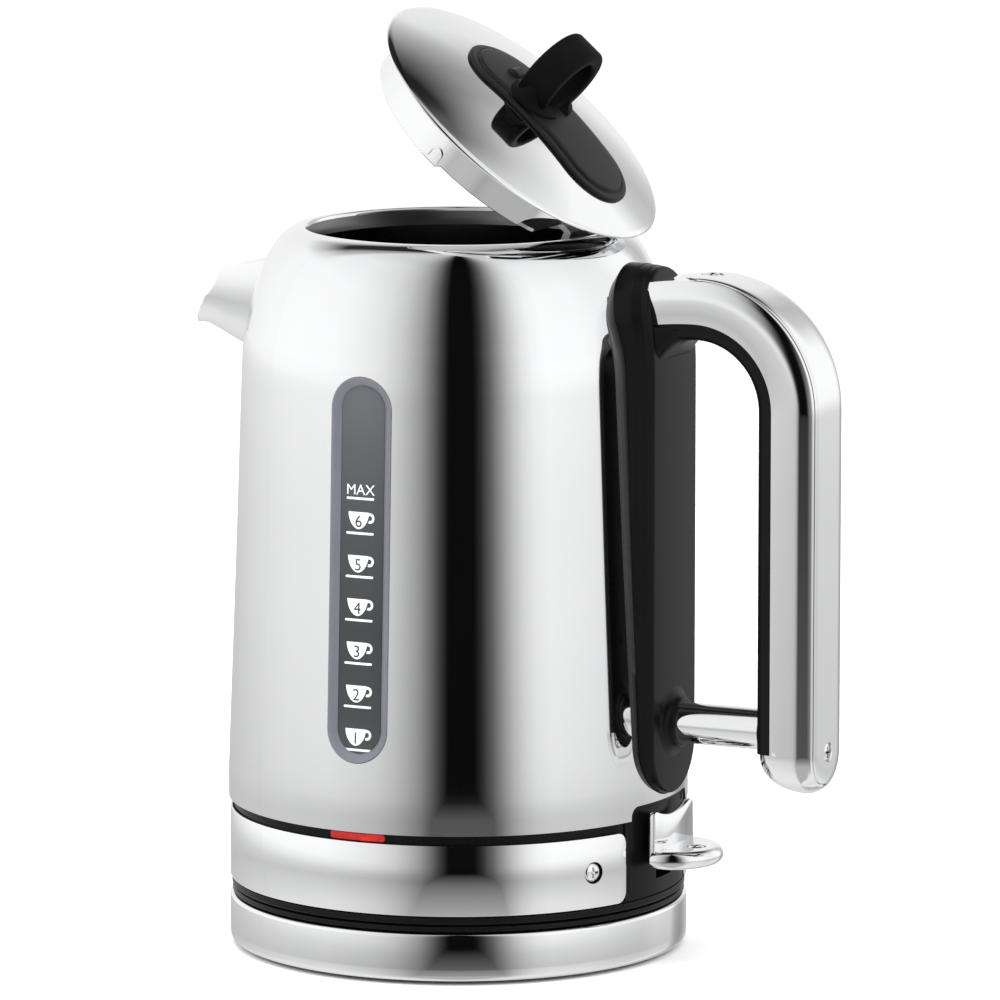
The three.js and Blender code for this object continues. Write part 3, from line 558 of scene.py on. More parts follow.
LIGHTS = (  # name, place, aim, size in metres, power in watts
    ("overhead", (0.3, -0.4, 2.2), (0, 0, 0), 2.6, 62),
    ("front_left", (-1.5, -1.6, 1.3), (0, 0, 0.15), 1.6, 14),
    ("front_right", (2.1, -0.7, 1.0), (0, 0, 0.15), 1.4, 10),
)


def pale_floor(tree):
    return {"Base Color": tint(tree, noise(tree, 3, 2), (0.93, 0.93, 0.93), (0.95, 0.95, 0.95)),
            "Roughness": 0.7, "Specular IOR Level": 0.2}


def by_turn(stops):
    return [((a + 180) / 360, v) for a, v in stops]


def by_height(stops):
    return [(0.5 + 0.5 * math.sin(math.radians(e)), v) for e, v in stops]


def studio():
    """Pale floor, soft light, and a bright room with one dark gap, as polished steel shows it."""
    world = bpy.data.worlds.new("studio")
    bpy.context.scene.world = world
    world.use_nodes = True
    tree = world.node_tree
    direction = tree.nodes.new("ShaderNodeSeparateXYZ")
    tree.links.new(add(tree, "TexCoord", "Generated", {}), direction.inputs["Vector"])

    def math_node(kind, *values):
        return add(tree, "Math", "Value", dict(enumerate(values)), operation=kind)

    def switch(chooser, otherwise, chosen):
        """One value, or a fixed one for one kind of ray."""
        inputs = {"Factor": chooser, "A": otherwise, "B": chosen}
        return add(tree, "Mix", "Result", inputs, data_type="FLOAT")

    turn = math_node("ARCTAN2", direction.outputs["Y"], direction.outputs["X"])
    around = math_node("MULTIPLY_ADD", turn, 1 / (2 * math.pi), 0.5)
    rise = math_node("MULTIPLY_ADD", direction.outputs["Z"], 0.5, 0.5)
    wall, behind = ramp_of(tree, around, by_turn(WALLS)), ramp_of(tree, around, by_turn(BEHIND), "EASE")
    fall, table, above = (ramp_of(tree, rise, by_height(stops)) for stops in (FALL, TABLE, ABOVE))
    kept = math_node("SUBTRACT", 1.0, math_node("MULTIPLY", behind, above))
    lit = math_node("MULTIPLY", math_node("MAXIMUM", math_node("MULTIPLY", wall, fall), table), kept)
    seen = tree.nodes.new("ShaderNodeLightPath")
    level = switch(seen.outputs["Is Camera Ray"], math_node("MULTIPLY", lit, ROOM_LEVEL), BACKDROP_LEVEL)
    background = tree.nodes["Background"]
    background.inputs["Color"].default_value = (1, 1, 1, 1)
    tree.links.new(switch(seen.outputs["Is Diffuse Ray"], level, FILL_LEVEL), background.inputs["Strength"])

    mesh = bpy.data.meshes.new("floor")
    reach = 30.0
    mesh.from_pydata([(-reach, -reach, 0), (reach, -reach, 0), (reach, reach, 0), (-reach, reach, 0)], [],
                     [(0, 1, 2, 3)])
    floor = bpy.data.objects.new("floor", mesh)
    bpy.context.scene.collection.objects.link(floor)
    floor.location.z = -0.0002
    floor.visible_glossy = False
    mesh.materials.append(painted("pale_floor", pale_floor))

    for name, place, aim, size, power in LIGHTS:
        light = bpy.data.lights.new(name, "AREA")
        light.shape = "SQUARE"
        light.size = size
        light.energy = power
        lamp = bpy.data.objects.new(name, light)
        lamp.location = place
        lamp.rotation_mode = "QUATERNION"
        lamp.rotation_quaternion = (Vector(aim) - Vector(place)).to_track_quat("-Z", "Y")
        lamp.visible_glossy = False
        bpy.context.scene.collection.objects.link(lamp)


def camera():
    """The photograph's view: from the handle side of the front, a little above the jug's middle."""
    data = bpy.data.cameras.new("camera")
    data.sensor_width = 36.0
    data.lens = 297.506
    eye = bpy.data.objects.new("camera", data)
    eye.location = (1.21383 + AXIS_X, -2.48212, 0.58941)
    eye.rotation_euler = (math.radians(90 - 9.0128), 0, math.radians(25.7665))
    data.clip_end = 100
    bpy.context.scene.collection.objects.link(eye)
    bpy.context.scene.camera = eye


studio()
camera()
bpy.context.scene.view_settings.view_transform = "Standard"
bpy.context.scene.view_settings.look = "None"


# ---------------------------------------------------------------- places on the object
def on_shell(z, depth):
    """Radius and height of a point above the shell's outer face, along its normal, at a height."""
    for (r0, z0), (r1, z1) in zip(SHELL, SHELL[1:]):
        if z0 <= z <= z1:
            share = (z - z0) / (z1 - z0)
            length = math.hypot(r1 - r0, z1 - z0)
            return r0 + (r1 - r0) * share + depth * (z1 - z0) / length, z - depth * (r1 - r0) / length
    return SHELL[0][0] + depth, z


def on_front(a, b, depth):
    """Point on the window side of the shell: a is along +X, b is the height."""
    r, z = on_shell(b, depth)
    return a, -math.sqrt(r * r - a * a), z


def on_drum(radius):
    """Places points on a plain drum about the jug's axis, at its handle side."""
    return lambda a, b, depth: (math.sqrt((radius + depth) ** 2 - a * a), a, b)


def on_handle(a, b, depth):
    """Point on the handle: a is sideways, b the way up from its lower end, depth inwards from its face."""
    straight = H_TOP - H_BEND - H_LOW
    bend = H_BEND * math.pi / 2
    if b <= straight:
        return H_OUTER - depth, a, H_LOW + b
    x, z = H_OUTER - H_BEND, H_TOP - H_BEND
    if b <= straight + bend:
        t = (b - straight) / H_BEND
        return x + (H_BEND - depth) * math.cos(t), a, z + (H_BEND - depth) * math.sin(t)
    run = b - straight - bend
    return x - run, a, H_TOP - depth - ROOT_DROP * (run / ROOT_RUN) ** 2


ROOT_DROP = 1.4  # how far the handle's upper arm falls towards its root
ROOT_RUN = H_OUTER - H_BEND - H_ROOT
HANDLE_RUN = H_TOP - H_BEND - H_LOW + H_BEND * math.pi / 2 + ROOT_RUN
STRIP_CENTRE = HANDLE_RUN - ROOT_RUN - 3.1  # of the round upper end of the handle's strip


def dome_height(r):
    return LID_EDGE + LID_DOME * (1 - (r / (LID_R - 0.6)) ** 2)


def on_lid(a, b, depth):
    """Point on the shut lid's dome: a is sideways, b is along X."""
    return b, a, dome_height(math.hypot(a, b)) + depth


# ---------------------------------------------------------------- power base
def power_base():
    r, low, top = BASE_R, SKIRT_LOW, SKIRT_TOP
    outer = rounded([(r - 3.4, low), (r - 0.2, low, 2.2), (r, low + 4, 1.5), (r, top, 1.3), (66, top),
                     (66, top - WALL), (r - 1.6, top - WALL, 0.5), (r - 1.1, low + 1.4, 1.2),
                     (r - 3.4, low + 1)], 6)
    skirt = revolve("base_skirt_shell", outer)
    outlet = spun("outlet_cutter", "y", 0, OUTLET_Z, [(70, OUTLET_R), (82, OUTLET_R)])
    piece(carve(skirt, outlet), "power_base", "polished_steel", "base_skirt")
    rim, hole = r - 0.8, 24.5
    line = rounded([(hole, top + 0.3), (rim - 0.6, top + 0.3, 0.3), (rim, top + 0.9, 0.5),
                    (rim, BASE_TOP, 0.9), (hole, BASE_TOP)])
    plate = revolve("base_top_plate", line)
    piece(plate, "power_base", "black_plastic", "base_top")
    line = [(73.7, 3.4), (73.7, 5.6), (75.5, 5.6), (75.5, 4.85), (77.6, 4.85), (77.95, 4.5), (77.95, 3.6),
            (77.6, 3.3), (73.7, 3.3)]
    gland = spun("cord_gland_ring", "y", 0, OUTLET_Z, line)
    piece(gland, "power_base", "black_rubber", "cord_gland")


# ---------------------------------------------------------------- jug: lower end
def rounded_slot(half, low, high, corner, rows=8):
    """Half outline of a rectangle with round corners, from the middle of its top down its right-hand side."""
    line = [(half - corner, high)]
    for j in range(1, 9):
        t = math.pi / 2 * j / 8
        line.append((half - corner + corner * math.sin(t), high - corner + corner * math.cos(t)))
    line += [(half, high - corner + (low - high + 2 * corner) * j / rows) for j in range(1, rows + 1)]
    for j in range(1, 9):
        t = math.pi / 2 * j / 8
        line.append((half - corner + corner * math.cos(t), low + corner - corner * math.sin(t)))
    return line


def lower_housing():
    r = HOUSING_R
    line = rounded([(28.5, 20.3), (77.1, 20.3, 0.8), (77.1, BAND_LOW - 0.4, 0.4), (r, BAND_LOW - 0.4), (r, 56),
                    (r - 2, 56), (r - 2, 22.4), (28.5, 22.4)])
    tub = revolve("lower_housing_tub", line)
    half, top = RECESS_HALF - 0.3, RECESS_TOP - 0.3
    tall = pad("patch", [(rounded_slot(half, 24, top, RECESS_R), d) for d in (-0.6, 0.5)] +
               [(rounded_slot(half - 0.2, 24, top - 0.2, RECESS_R), 0.7)], on_drum(r), 12)
    wide = pad("patch_low", [(rounded_slot(23, 23.4, 50.2, 0.6), d) for d in (-0.5, 0.6)], on_drum(r), 12)
    slot = prism("slot_cutter", [(-5.8, 28.5), (5.8, 28.5), (5.8, 40.5), (-5.8, 40.5)], "x", 60, 90)
    housing = carve(tub, tall, wide, operation="UNION")
    piece(carve(housing, slot), "jug", "black_plastic", "lower_housing")
    lens = pad("neon_lamp_lens_bar", [(rounded_slot(10, 47.75, 50.2, 0.9), d) for d in (0.05, 0.75)] +
               [(rounded_slot(9.75, 48.0, 49.95, 0.7), 0.95)],
               lambda a, b, depth: (a, -math.sqrt((r + depth) ** 2 - a * a), b), 10)
    piece(lens, "jug", "red_lens", "neon_lamp_lens")


def chrome_band():
    """The band goes round from one side of the lever to the other; its outline is drawn along its middle."""
    middle = (BAND_LOW + BAND_HIGH) / 2
    tall = (BAND_HIGH - BAND_LOW) / 2
    reach = BAND_R * (math.pi - math.asin(BAND_HALF_GAP / BAND_R))

    def on_band(a, b, depth):
        t = math.pi + b / BAND_R
        return (BAND_R + depth) * math.cos(t), (BAND_R + depth) * math.sin(t), middle + a

    def outline(inset):
        half, end, c = tall - inset, reach - inset, BAND_CORNER - inset
        line = [(half - c + c * math.sin(math.pi / 2 * j / 10), end - c + c * math.cos(math.pi / 2 * j / 10))
                for j in range(11)]
        line += [(half, (end - c) * (1 - 2 * j / 160)) for j in range(1, 160)]
        return line + [(a, -b) for a, b in reversed(line[:11])]

    layers = [(outline(0.35), -0.9), (outline(0.1), -0.8), (outline(0), -0.55), (outline(0), -0.3),
              (outline(0.12), -0.1), (outline(0.4), 0)]
    band = pad("base_band_sheet", layers, on_band, 2)
    screws = []
    for side in (-1, 1):
        a = math.radians(BAND_SCREW_AT * side)
        turn = Matrix.Rotation(a, 4, "Z") @ Matrix.Rotation(math.pi / 2, 4, "Y")
        spot = (BAND_R * math.cos(a), BAND_R * math.sin(a), middle)
        screws.append(placed(spun("seat_cutter", "z", 0, 0, [(-3, 3.7), (1, 3.7)]), spot, turn))
        name = "left" if side < 0 else "right"
        head = placed(cross_screw("band_screw_head_" + name, 3.1, 0.8), spot, turn)
        piece(head, "jug", "polished_steel", "band_screw_" + name)
    piece(carve(band, *screws), "jug", "polished_steel", "base_band")


def cross_screw(name, radius, sunk):
    """Domed screw head with a cross recess, made about the origin with its axis along +Z."""
    line = [(0, 0.62), (0.35, 0.59), (0.62, 0.47), (0.84, 0.24), (0.96, -0.02), (1, -0.25), (1, -0.5),
            (0, -0.5)]
    head = revolve(name, [(radius * share, -sunk + z) for share, z in line], 64)
    arm, wide = radius * 0.6, radius * 0.13
    cutters = []
    for a, b in ((arm, wide), (wide, arm)):
        cutters.append(prism("cross_cutter", [(-a, -b), (a, -b), (a, b), (-a, b)], "z", -sunk - 0.28, 3))
    return carve(head, *cutters)


# ---------------------------------------------------------------- jug: shell, spout and window
SPOUT_NOSE = 0.075  # how far its mouth draws back, per mm and mm sideways
# Half of the spout's cross-section: share of its half width, and of its height from the top down.
SPOUT_SIDE = [(0.95, 0.0), (0.965, 0.02), (0.985, 0.12), (1.0, 0.3), (0.985, 0.5), (0.92, 0.68), (0.78, 0.83),
              (0.55, 0.93), (0.28, 0.985), (0.0, 1.0)]


def spout_section(x, top, bottom, half, inset):
    """One cross-section of the spout: a flat top with a crease, upright flanks and a round keel."""
    w, high, low = half - inset, top - inset, bottom + inset
    side = [(w * a, high - (high - low) * b) for a, b in spline(SPOUT_SIDE, 4)]
    return [(x, a, b) for a, b in side] + [(x, -a, b) for a, b in reversed(side[:-1])]


def spout_loft(name, inset):
    stations = [(-58, 232.4, 189, 16), (-68, 230.6, 194.6, 14.2), (-76, 229.2, 198.5, 12.8),
                (-84, 227.7, 201.9, 11.3), (-91, 226.4, 205.2, 9.9), (-95, 225.6, 206.5, 9),
                (-99.4, 224.7, 206.2, 8)]
    if inset:
        stations.append((-104, 223.8, 206, 7.2))
    return loft(name, [spout_section(*s, inset) for s in spline(stations, 4)], 28)


def shell_and_spout():
    inner = offset(SHELL, -WALL)
    shell = revolve("body_shell_sheet", SHELL + inner[::-1])
    grow = 0.12
    window = stadium(WIN_HALF + grow, WIN_LOW - grow, WIN_HIGH + grow, 32)
    notch = rounded([(-RECESS_HALF, 30), (RECESS_HALF, 30), (RECESS_HALF, RECESS_TOP, RECESS_R),
                     (-RECESS_HALF, RECESS_TOP, RECESS_R)], 8)
    shell = carve(shell, prism("window_cutter", window, "y", -95, -50),
                  prism("notch_cutter", notch, "x", 60, 95), spout_loft("bore_cutter", WALL))
    piece(shell, "jug", "polished_steel", "body_shell")
    # the inside faces get the steel painted dark for the shade inside the jug
    shell.data.materials.append(SHADED_INNER)
    for face in shell.data.polygons:
        x, y, z = face.center / MM
        x -= AXIS_X / MM
        inside = math.hypot(x, y) < shell_radius(z) - 0.6 and face.normal.x * x + face.normal.y * y < 0
        if z < 243.5 and inside:
            face.material_index = 1

    side = [(r, z) for r, z in offset(SHELL, 0.02) if 150 < z < 244 and r > 56]
    body = revolve("shell_cutter", [(0, 150)] + side + [(0, 244)])
    line = [(-89.2, 227.5), (-89.6, 225.4), (-91.9, 222.3), (-94.2, 219.5), (-97.2, 216.4), (-98.2, 213.2),
            (-98.6, 209.4), (-98.3, 206.8), (-97.9, 205.6), (-97.9, 200), (-115, 200), (-115, 240),
            (-89.2, 240)]
    mouth = prism("mouth_cutter", line, "y", -20, 20)
    spout = carve(spout_loft("spout_sheet", 0), spout_loft("bore_cutter", WALL), body, mouth)
    for v in spout.data.vertices:  # the mouth is round seen from above, so it draws back towards its sides
        x, y = v.co.x / MM - AXIS_X / MM, v.co.y / MM
        v.co.x += SPOUT_NOSE * y * y * max(0.0, min(1.0, (-x - 74) / 22)) ** 1.5 * MM
    piece(spout, "jug", "polished_steel", "spout")


def window():
    rim = WIN_RIM
    line = [(0.0, -2.4), (0.0, 0.05), (0.1, 0.3), (0.35, 0.42), (0.65, 0.35), (0.85, 0.1), (1.1, 0.0),
            (1.4, -0.1), (rim - 0.25, -1.45), (rim, -1.75), (rim, -2.4)]
    layers = [(half_stadium(WIN_HALF, WIN_LOW, WIN_HIGH, inset, 20, 40), depth) for inset, depth in line]
    piece(pad("window_bezel", layers, on_front, hollow=True), "jug", "grey_plastic", "window_frame")
    outline = half_stadium(WIN_HALF, WIN_LOW, WIN_HIGH, rim + 0.1, 20, 40)
    layers = [(outline, depth) for depth in (-3.6, -1.75)]
    lens = pad("window_lens_sheet", layers, on_front, 8)
    piece(lens, "jug", "smoked_window", "window_lens")


PRINT = -1.7  # depth of the printed marks
INK_THICK = 0.045


def printed(name, flat, depth):
    """Thin print on the lens from a flat mesh of (along X, height) points, cut to follow the curve."""
    shape = bmesh.new()
    shape.from_mesh(flat)
    bpy.data.meshes.remove(flat)
    for i in range(-9, 10):
        everything = shape.verts[:] + shape.edges[:] + shape.faces[:]
        bmesh.ops.bisect_plane(shape, geom=everything, plane_co=(i * 0.7, 0, 0), plane_no=(1, 0, 0))
    shape.verts.index_update()
    count = len(shape.verts)
    verts = [on_front(v.co.x, v.co.y, depth - INK_THICK) for v in shape.verts]
    verts += [on_front(v.co.x, v.co.y, depth) for v in shape.verts]
    faces = []
    for face in shape.faces:
        around = [v.index for v in face.verts]
        faces += [around[::-1], [k + count for k in around]]
    for edge in shape.edges:
        if len(edge.link_faces) == 1:
            i, j = (v.index for v in edge.verts)
            faces.append([i, j, j + count, i + count])
    shape.free()
    return make(name, verts, faces, 32, 1e-3)


def flat_mark(name, outline):
    mesh = bpy.data.meshes.new(name)
    mesh.from_pydata([(a, b, 0) for a, b in outline], [], [tuple(range(len(outline)))])
    return printed(name, mesh, PRINT)


def letters(name, text, size, x, z, depth):
    """Characters of the scale, centred on x with their foot at z."""
    curve = bpy.data.curves.new(name, "FONT")
    curve.body = text
    curve.size = size
    curve.align_x = "CENTER"
    curve.resolution_u = 6
    source = bpy.data.objects.new(name, curve)
    bpy.context.scene.collection.objects.link(source)
    mesh = bpy.data.meshes.new_from_object(source.evaluated_get(bpy.context.evaluated_depsgraph_get()))
    mesh.transform(Matrix.Translation((x, z, 0)))
    bpy.data.objects.remove(source)
    return printed(name, mesh, depth)


def scale_marks():
    """Seven level marks: a line each, a cup with its number over the six lower ones, MAX over the top one."""
    shift = -0.6  # of the marks' middle from the window's
    first, step, last = 77.6, 14.48, 11.6  # the lowest line's height, and the way to the next and the top one
    paint, numbers = [], []
    for i in range(7):
        z = first + step * i if i < 6 else first + step * 5 + last
        bar = [(b + shift, a + z + 0.4) for a, b in stadium(0.4, -5.1, 5.1, 8)]
        paint.append(flat_mark("level_line", bar))
        if i == 6:
            paint.append(letters("level_word", "MAX", 4.9, shift, z + 1.7, PRINT))
            continue
        bowl = [(-4.3 + shift, z + 7.5), (3.3 + shift, z + 7.5)]
        for j in range(1, 17):
            t = math.pi * j / 16
            wide = 3.8 * math.cos(t) * (1 - 0.12 * math.sin(t))
            bowl.append((wide - 0.5 + shift, z + 7.0 - 5.2 * math.sin(t)))
        paint.append(flat_mark("cup", bowl))
        centre = (3.7 + shift, z + 5.6)
        loop = []
        for radius, turns in ((1.75, range(13)), (0.85, range(12, -1, -1))):
            for j in turns:
                t = math.radians(-115 + 230 * j / 12)
                loop.append((centre[0] + radius * math.cos(t) * 0.9, centre[1] + radius * math.sin(t)))
        paint.append(flat_mark("cup_handle", loop))
        numbers.append(letters("level_number", str(i + 1), 5.6, -0.5 + shift, z + 2.5, PRINT + 0.03))
    piece(join("window_scale", *paint), "jug", "smoked_window", material=PAINT)
    piece(join("window_numbers", *numbers), "jug", "smoked_window", material=INK)


# ---------------------------------------------------------------- handle
def handle_outline(inset, square):
    """Half outline of the handle's face from its root, square or round, to its round lower end."""
    half = H_HALF - inset
    steps = 14
    line = []
    for j in range(steps + 1):
        t = j / steps
        if not square:
            line.append((half * math.sin(math.pi / 2 * t), STRIP_CENTRE + half * math.cos(math.pi / 2 * t)))
        elif t <= 0.5:
            line.append((half * 2 * t, HANDLE_RUN))
        else:
            line.append((half, HANDLE_RUN - (HANDLE_RUN - STRIP_CENTRE) * (2 * t - 1)))
    rows = 110
    line += [(half, STRIP_CENTRE + (H_HALF - STRIP_CENTRE) * j / rows) for j in range(1, rows)]
    line.append((half, H_HALF + 0.1))
    for j in range(2 * steps + 1):
        t = math.pi / 2 * j / (2 * steps)
        line.append((half * math.cos(t), H_HALF - half * math.sin(t)))
    return line


def liner_outline(inset, low):
    """Half outline of the liner: square at the root, and at its lower end, where it meets the end cap."""
    half, high = H_HALF - inset, HANDLE_RUN
    line = [(half * j / 4, high) for j in range(5)]
    line += [(half, high + (low - high) * j / 120) for j in range(1, 121)]
    return line + [(half * (1 - j / 4), low) for j in range(1, 5)]


def handle():
    floor = 2.5
    end_cap = H_TOE + 0.3  # the steel wraps round the lower end up to this height

    def on_shell_side(a, b, depth):
        if b > end_cap or depth < 3:
            return on_handle(a, b, depth)
        reach = H_TOE - min(b, H_TOE)
        full = H_OUTER - H_INNER + 0.6 - H_TOE + math.sqrt(max(H_TOE ** 2 - reach ** 2, 0))
        knee = min(13.2, 3 + (full - 3) * 0.62)  # the part of the side line that stays as it is
        if depth > knee:
            depth = knee + (depth - knee) * (full - knee) / (SHELL_DEPTH - knee)
        edge = max(0.0, CAP_ROUND - (full - depth))
        drawn_in = CAP_ROUND - math.sqrt(max(CAP_ROUND ** 2 - edge ** 2, 0))
        return on_handle(a * (1 - drawn_in / H_HALF), b, depth)

    steel_side = [(GROOVE, floor), (GROOVE, 1.1), (3.0, 0.9), (2.86, 0.84), (2.6, 0.98), (2.3, 1.38), (2.0, 1.8),
                  (1.7, 2.24), (1.5, 2.55), (1.3, 2.9), (1.1, 3.28), (0.9, 3.68), (0.7, 4.1), (0.5, 4.54),
                  (0.32, 4.98), (0.18, 5.4), (0.08, 5.85), (0.02, 6.5), (0, 7.6), (0.02, 10.2), (0.06, 11.6),
                  (0.1, 12.5), (0.14, 13.2), (0.18, 13.8), (0.22, 14.3), (0.25, 14.65), (0.28, 14.95),
                  (0.3, SHELL_DEPTH)]
    side_line = [(inset, depth, i > 3) for i, (inset, depth) in enumerate(steel_side)]
    layers = [(handle_outline(inset, square), depth) for inset, depth, square in side_line]
    piece(pad("handle_shell_sheet", layers, on_shell_side, 4), "jug", "polished_steel", "handle_shell")

    strip_line = [(0, 2.2), (0, 0.95), (0.15, 0.68), (0.5, 0.45), (1.15, 0.26), (2.15, 0.12), (3.6, 0.03),
                  (5.6, 0)]
    layers = [(handle_outline(STRIP_EDGE + inset, False), depth) for inset, depth in strip_line]
    strip = pad("handle_strip_sheet", layers, on_handle, 6)
    low_spot, low_turn = (H_OUTER, 0, STRIP_SCREW_LOW), Matrix.Rotation(math.pi / 2, 4, "Y")
    top_spot, top_turn = (STRIP_SCREW_TOP, 0, H_TOP), Matrix.Identity(4)
    seats = [placed(spun("seat_cutter", "z", 0, 0, [(-1.2, 3.5), (2, 3.5)]), low_spot, low_turn),
             placed(spun("seat_cutter", "z", 0, 0, [(-0.7, 3.9), (4, 3.9)]), top_spot, top_turn)]
    piece(carve(strip, *seats), "jug", "polished_steel", "handle_strip")
    low = placed(cross_screw("handle_screw_low_head", 3.2, 0.75), low_spot, low_turn)
    piece(low, "jug", "polished_steel", "handle_screw_low")
    top = placed(cross_screw("handle_screw_top_head", 3.5, 0.6), top_spot, top_turn)
    piece(top, "jug", "polished_steel", "handle_screw_top")

    liner_line = [(0.55, 15.25), (0.4, 15.5), (0.45, 17.4), (0.7, 18.6), (1.1, 19.5), (1.7, 20.2),
                  (2.5, 20.65), (3.5, 20.9), (4.8, 21)]
    layers = [(liner_outline(inset, end_cap), depth) for inset, depth in liner_line]
    liner = pad("handle_liner_strip", layers, on_handle, 4)
    line = [(114.2, 7.4), (114.3, 7.8), (114.8, 8.2), (115.3, 8.9), (115.7, 9.9), (116, 11), (116.3, 12)]
    collar = spun("collar", "x", 0, STRUT_Z, line)
    piece(join("handle_liner_strip", liner, collar), "jug", "black_plastic", "handle_liner")
    line = [(STRUT_FROM, STRUT_R - 0.4), (STRUT_FROM + 0.4, STRUT_R), (STRUT_TO - 0.4, STRUT_R),
            (STRUT_TO, STRUT_R - 0.4)]
    strut = spun("handle_strut_rod", "x", 0, STRUT_Z, line, 96)
    piece(strut, "jug", "polished_steel", "handle_strut")


def strap():
    """Moulding on the back of the jug: stepped sides, an upright face that leans back over the shoulder, a fillet
    under the root of the handle and the boss of the strut."""
    def on_strap(a, b, depth):
        over = max(0.0, (b - STRAP_BEND) / (STRAP_HIGH - STRAP_BEND))
        face = STRAP_FACE - (STRAP_FACE - STRAP_CREST) * over ** 2
        if depth < -5:
            a *= 1 + 0.07 * min(1.0, 2 * over) ** 2
        r, z = on_shell(b, 0.05)
        return max(math.sqrt(r * r - a * a), face + depth), a, b

    line = [(0, -60), (0, -6.6), (0.08, -6.4), (0.22, -6.3), (0.28, -6.1), (0.28, -3.1), (0.36, -2.9),
            (0.5, -2.8), (0.56, -2.6), (0.56, -1.1), (0.7, -0.5), (1.1, -0.12), (1.8, 0)]
    layers = [(half_stadium(STRAP_HALF, STRAP_LOW, STRAP_HIGH, inset, 24, 60), depth)
              for inset, depth in line]
    sheet = pad("strap_sheet", layers, on_strap, 2)
    rings = []
    stations = [(76, 15.6, 203.6), (80.2, 15.4, 204.6), (81.4, 15.1, 206), (82.8, 14.8, 207.8),
                (84.4, 14.4, 209.5), (86.2, 14.1, 210.9), (88.2, 13.9, 211.8), (90.4, 13.7, 212.3)]
    for x, half, low in stations:
        outline = rounded([(-half, low, 5), (half, low, 5), (half, 216.6, 0.3), (-half, 216.6, 0.3)], 10)
        rings.append([(x, y, z) for y, z in outline])
    fillet = loft("fillet", rings, 40)
    line = [(77, 12.4), (80.75, 12.2), (81, 11.2), (81.4, 10.3), (81.9, 9.5), (82.5, 8.9), (83.2, 8.5),
            (83.9, 8.25), (84.2, 7.9), (84.3, 7.4)]
    boss = spun("boss", "x", 0, STRUT_Z, line, 96)
    piece(join("handle_strap_moulding", sheet, fillet, boss), "jug", "black_plastic", "handle_strap")


# ---------------------------------------------------------------- lid, made shut and turned open
def skirt_low(angle):
    """Height of the skirt's lower edge: it is cut back where the lid swings past the collar."""
    x, y = LID_SKIRT_R * math.cos(angle), LID_SKIRT_R * math.sin(angle)
    corner = math.sqrt(COLLAR_R ** 2 - y ** 2)
    square = (PIVOT_X - corner) ** 2 - (PIVOT_X - x) ** 2 + (COLLAR_TOP - PIVOT_Z) ** 2
    relief = PIVOT_Z + math.sqrt(max(square, 0)) + LID_RELIEF
    return relief if x > 0 and relief > LID_SKIRT_LOW else LID_SKIRT_LOW


def lid():
    rim = LID_R - 0.6
    dome = [(rim * j / 40, dome_height(rim * j / 40)) for j in range(41)]
    edge = [(rim + 0.22, LID_EDGE - 0.2), (rim + 0.44, LID_EDGE - 0.42), (LID_R - 0.02, LID_EDGE - 0.66),
            (rim + 0.52, LID_UNDER + 0.22), (rim + 0.2, LID_UNDER), (50.6, LID_UNDER)]
    under = [(0.9 * q, dome_height(0.9 * q) - 1.2) for q, z in reversed(dome)]
    piece(revolve("lid_cover_sheet", dome + edge + under), "lid", "polished_steel", "lid_cover")

    rings = []
    high, inner = LID_UNDER + 0.2, LID_SKIRT_R - WALL
    for i in range(AROUND):
        a = 2 * math.pi * i / AROUND
        low = skirt_low(a)
        section = [(inner, low + 0.3), (inner + 0.3, low), (LID_SKIRT_R - 0.35, low),
                   (LID_SKIRT_R, low + 0.35), (LID_SKIRT_R, high), (inner, high)]
        rings.append([(r * math.cos(a), r * math.sin(a), z) for r, z in section])
    skirt = loft("lid_skirt_sheet", rings, 32, joined=True)
    piece(carve(skirt, tab_mark()), "lid", "polished_steel", "lid_skirt")

    def outline(inset):
        return half_stadium(INSERT_HALF, INSERT_X - INSERT_LEN, INSERT_X + INSERT_LEN, inset, 28, 30)

    line = [(0.2, 0.05), (0, 0.3), (0, 0.95), (0.15, 1.25), (0.5, 1.4), (1.9, 1.42), (2.3, 1.3), (2.5, 1.1),
            (2.8, 1.1), (3.0, 1.4), (3.15, 1.9), (3.5, 2.15), (4.2, PANEL_THICK), (6, PANEL_THICK)]
    insert = pad("lid_insert_plate", [(outline(inset), depth) for inset, depth in line], on_lid, 16)
    line = [(-3.2, 1.6), (-2.9, 2.3), (-2.3, 2.75), (2.3, 2.75), (2.9, 2.3), (3.2, 1.6)]
    knuckle = spun("knuckle", "y", -12.3, 255.2, line, 40)
    piece(join("lid_insert_plate", insert, knuckle), "lid", "black_plastic", "lid_insert", material=SATIN)
    lid_ring()


def tab_mark():
    """Cutter of the narrow groove round the skirt's spring tab."""
    half, start = 0.2, math.radians(-92.5)  # half the groove's width, and where on the skirt the tab is
    path = [(2.2, -11.6)]
    for j in range(11):
        t = math.pi * j / 10
        path.append((2.2 * math.cos(t), -9.4 + 2.2 * math.sin(t)))
    path.append((-2.2, -11.6))
    rings = []
    for i, (s, z) in enumerate(path):
        s0, z0 = path[max(i - 1, 0)]
        s1, z1 = path[min(i + 1, len(path) - 1)]
        length = math.hypot(s1 - s0, z1 - z0)
        u, v = -(z1 - z0) / length * half, (s1 - s0) / length * half
        ring = []
        for k, depth in ((-1, -0.3), (1, -0.3), (1, 0.6), (-1, 0.6)):
            a = start + (s + u * k) / LID_SKIRT_R
            r = LID_SKIRT_R + depth
            ring.append((r * math.cos(a), r * math.sin(a), LID_UNDER + z + v * k))
        rings.append(ring)
    return loft("groove_cutter", rings, 60)


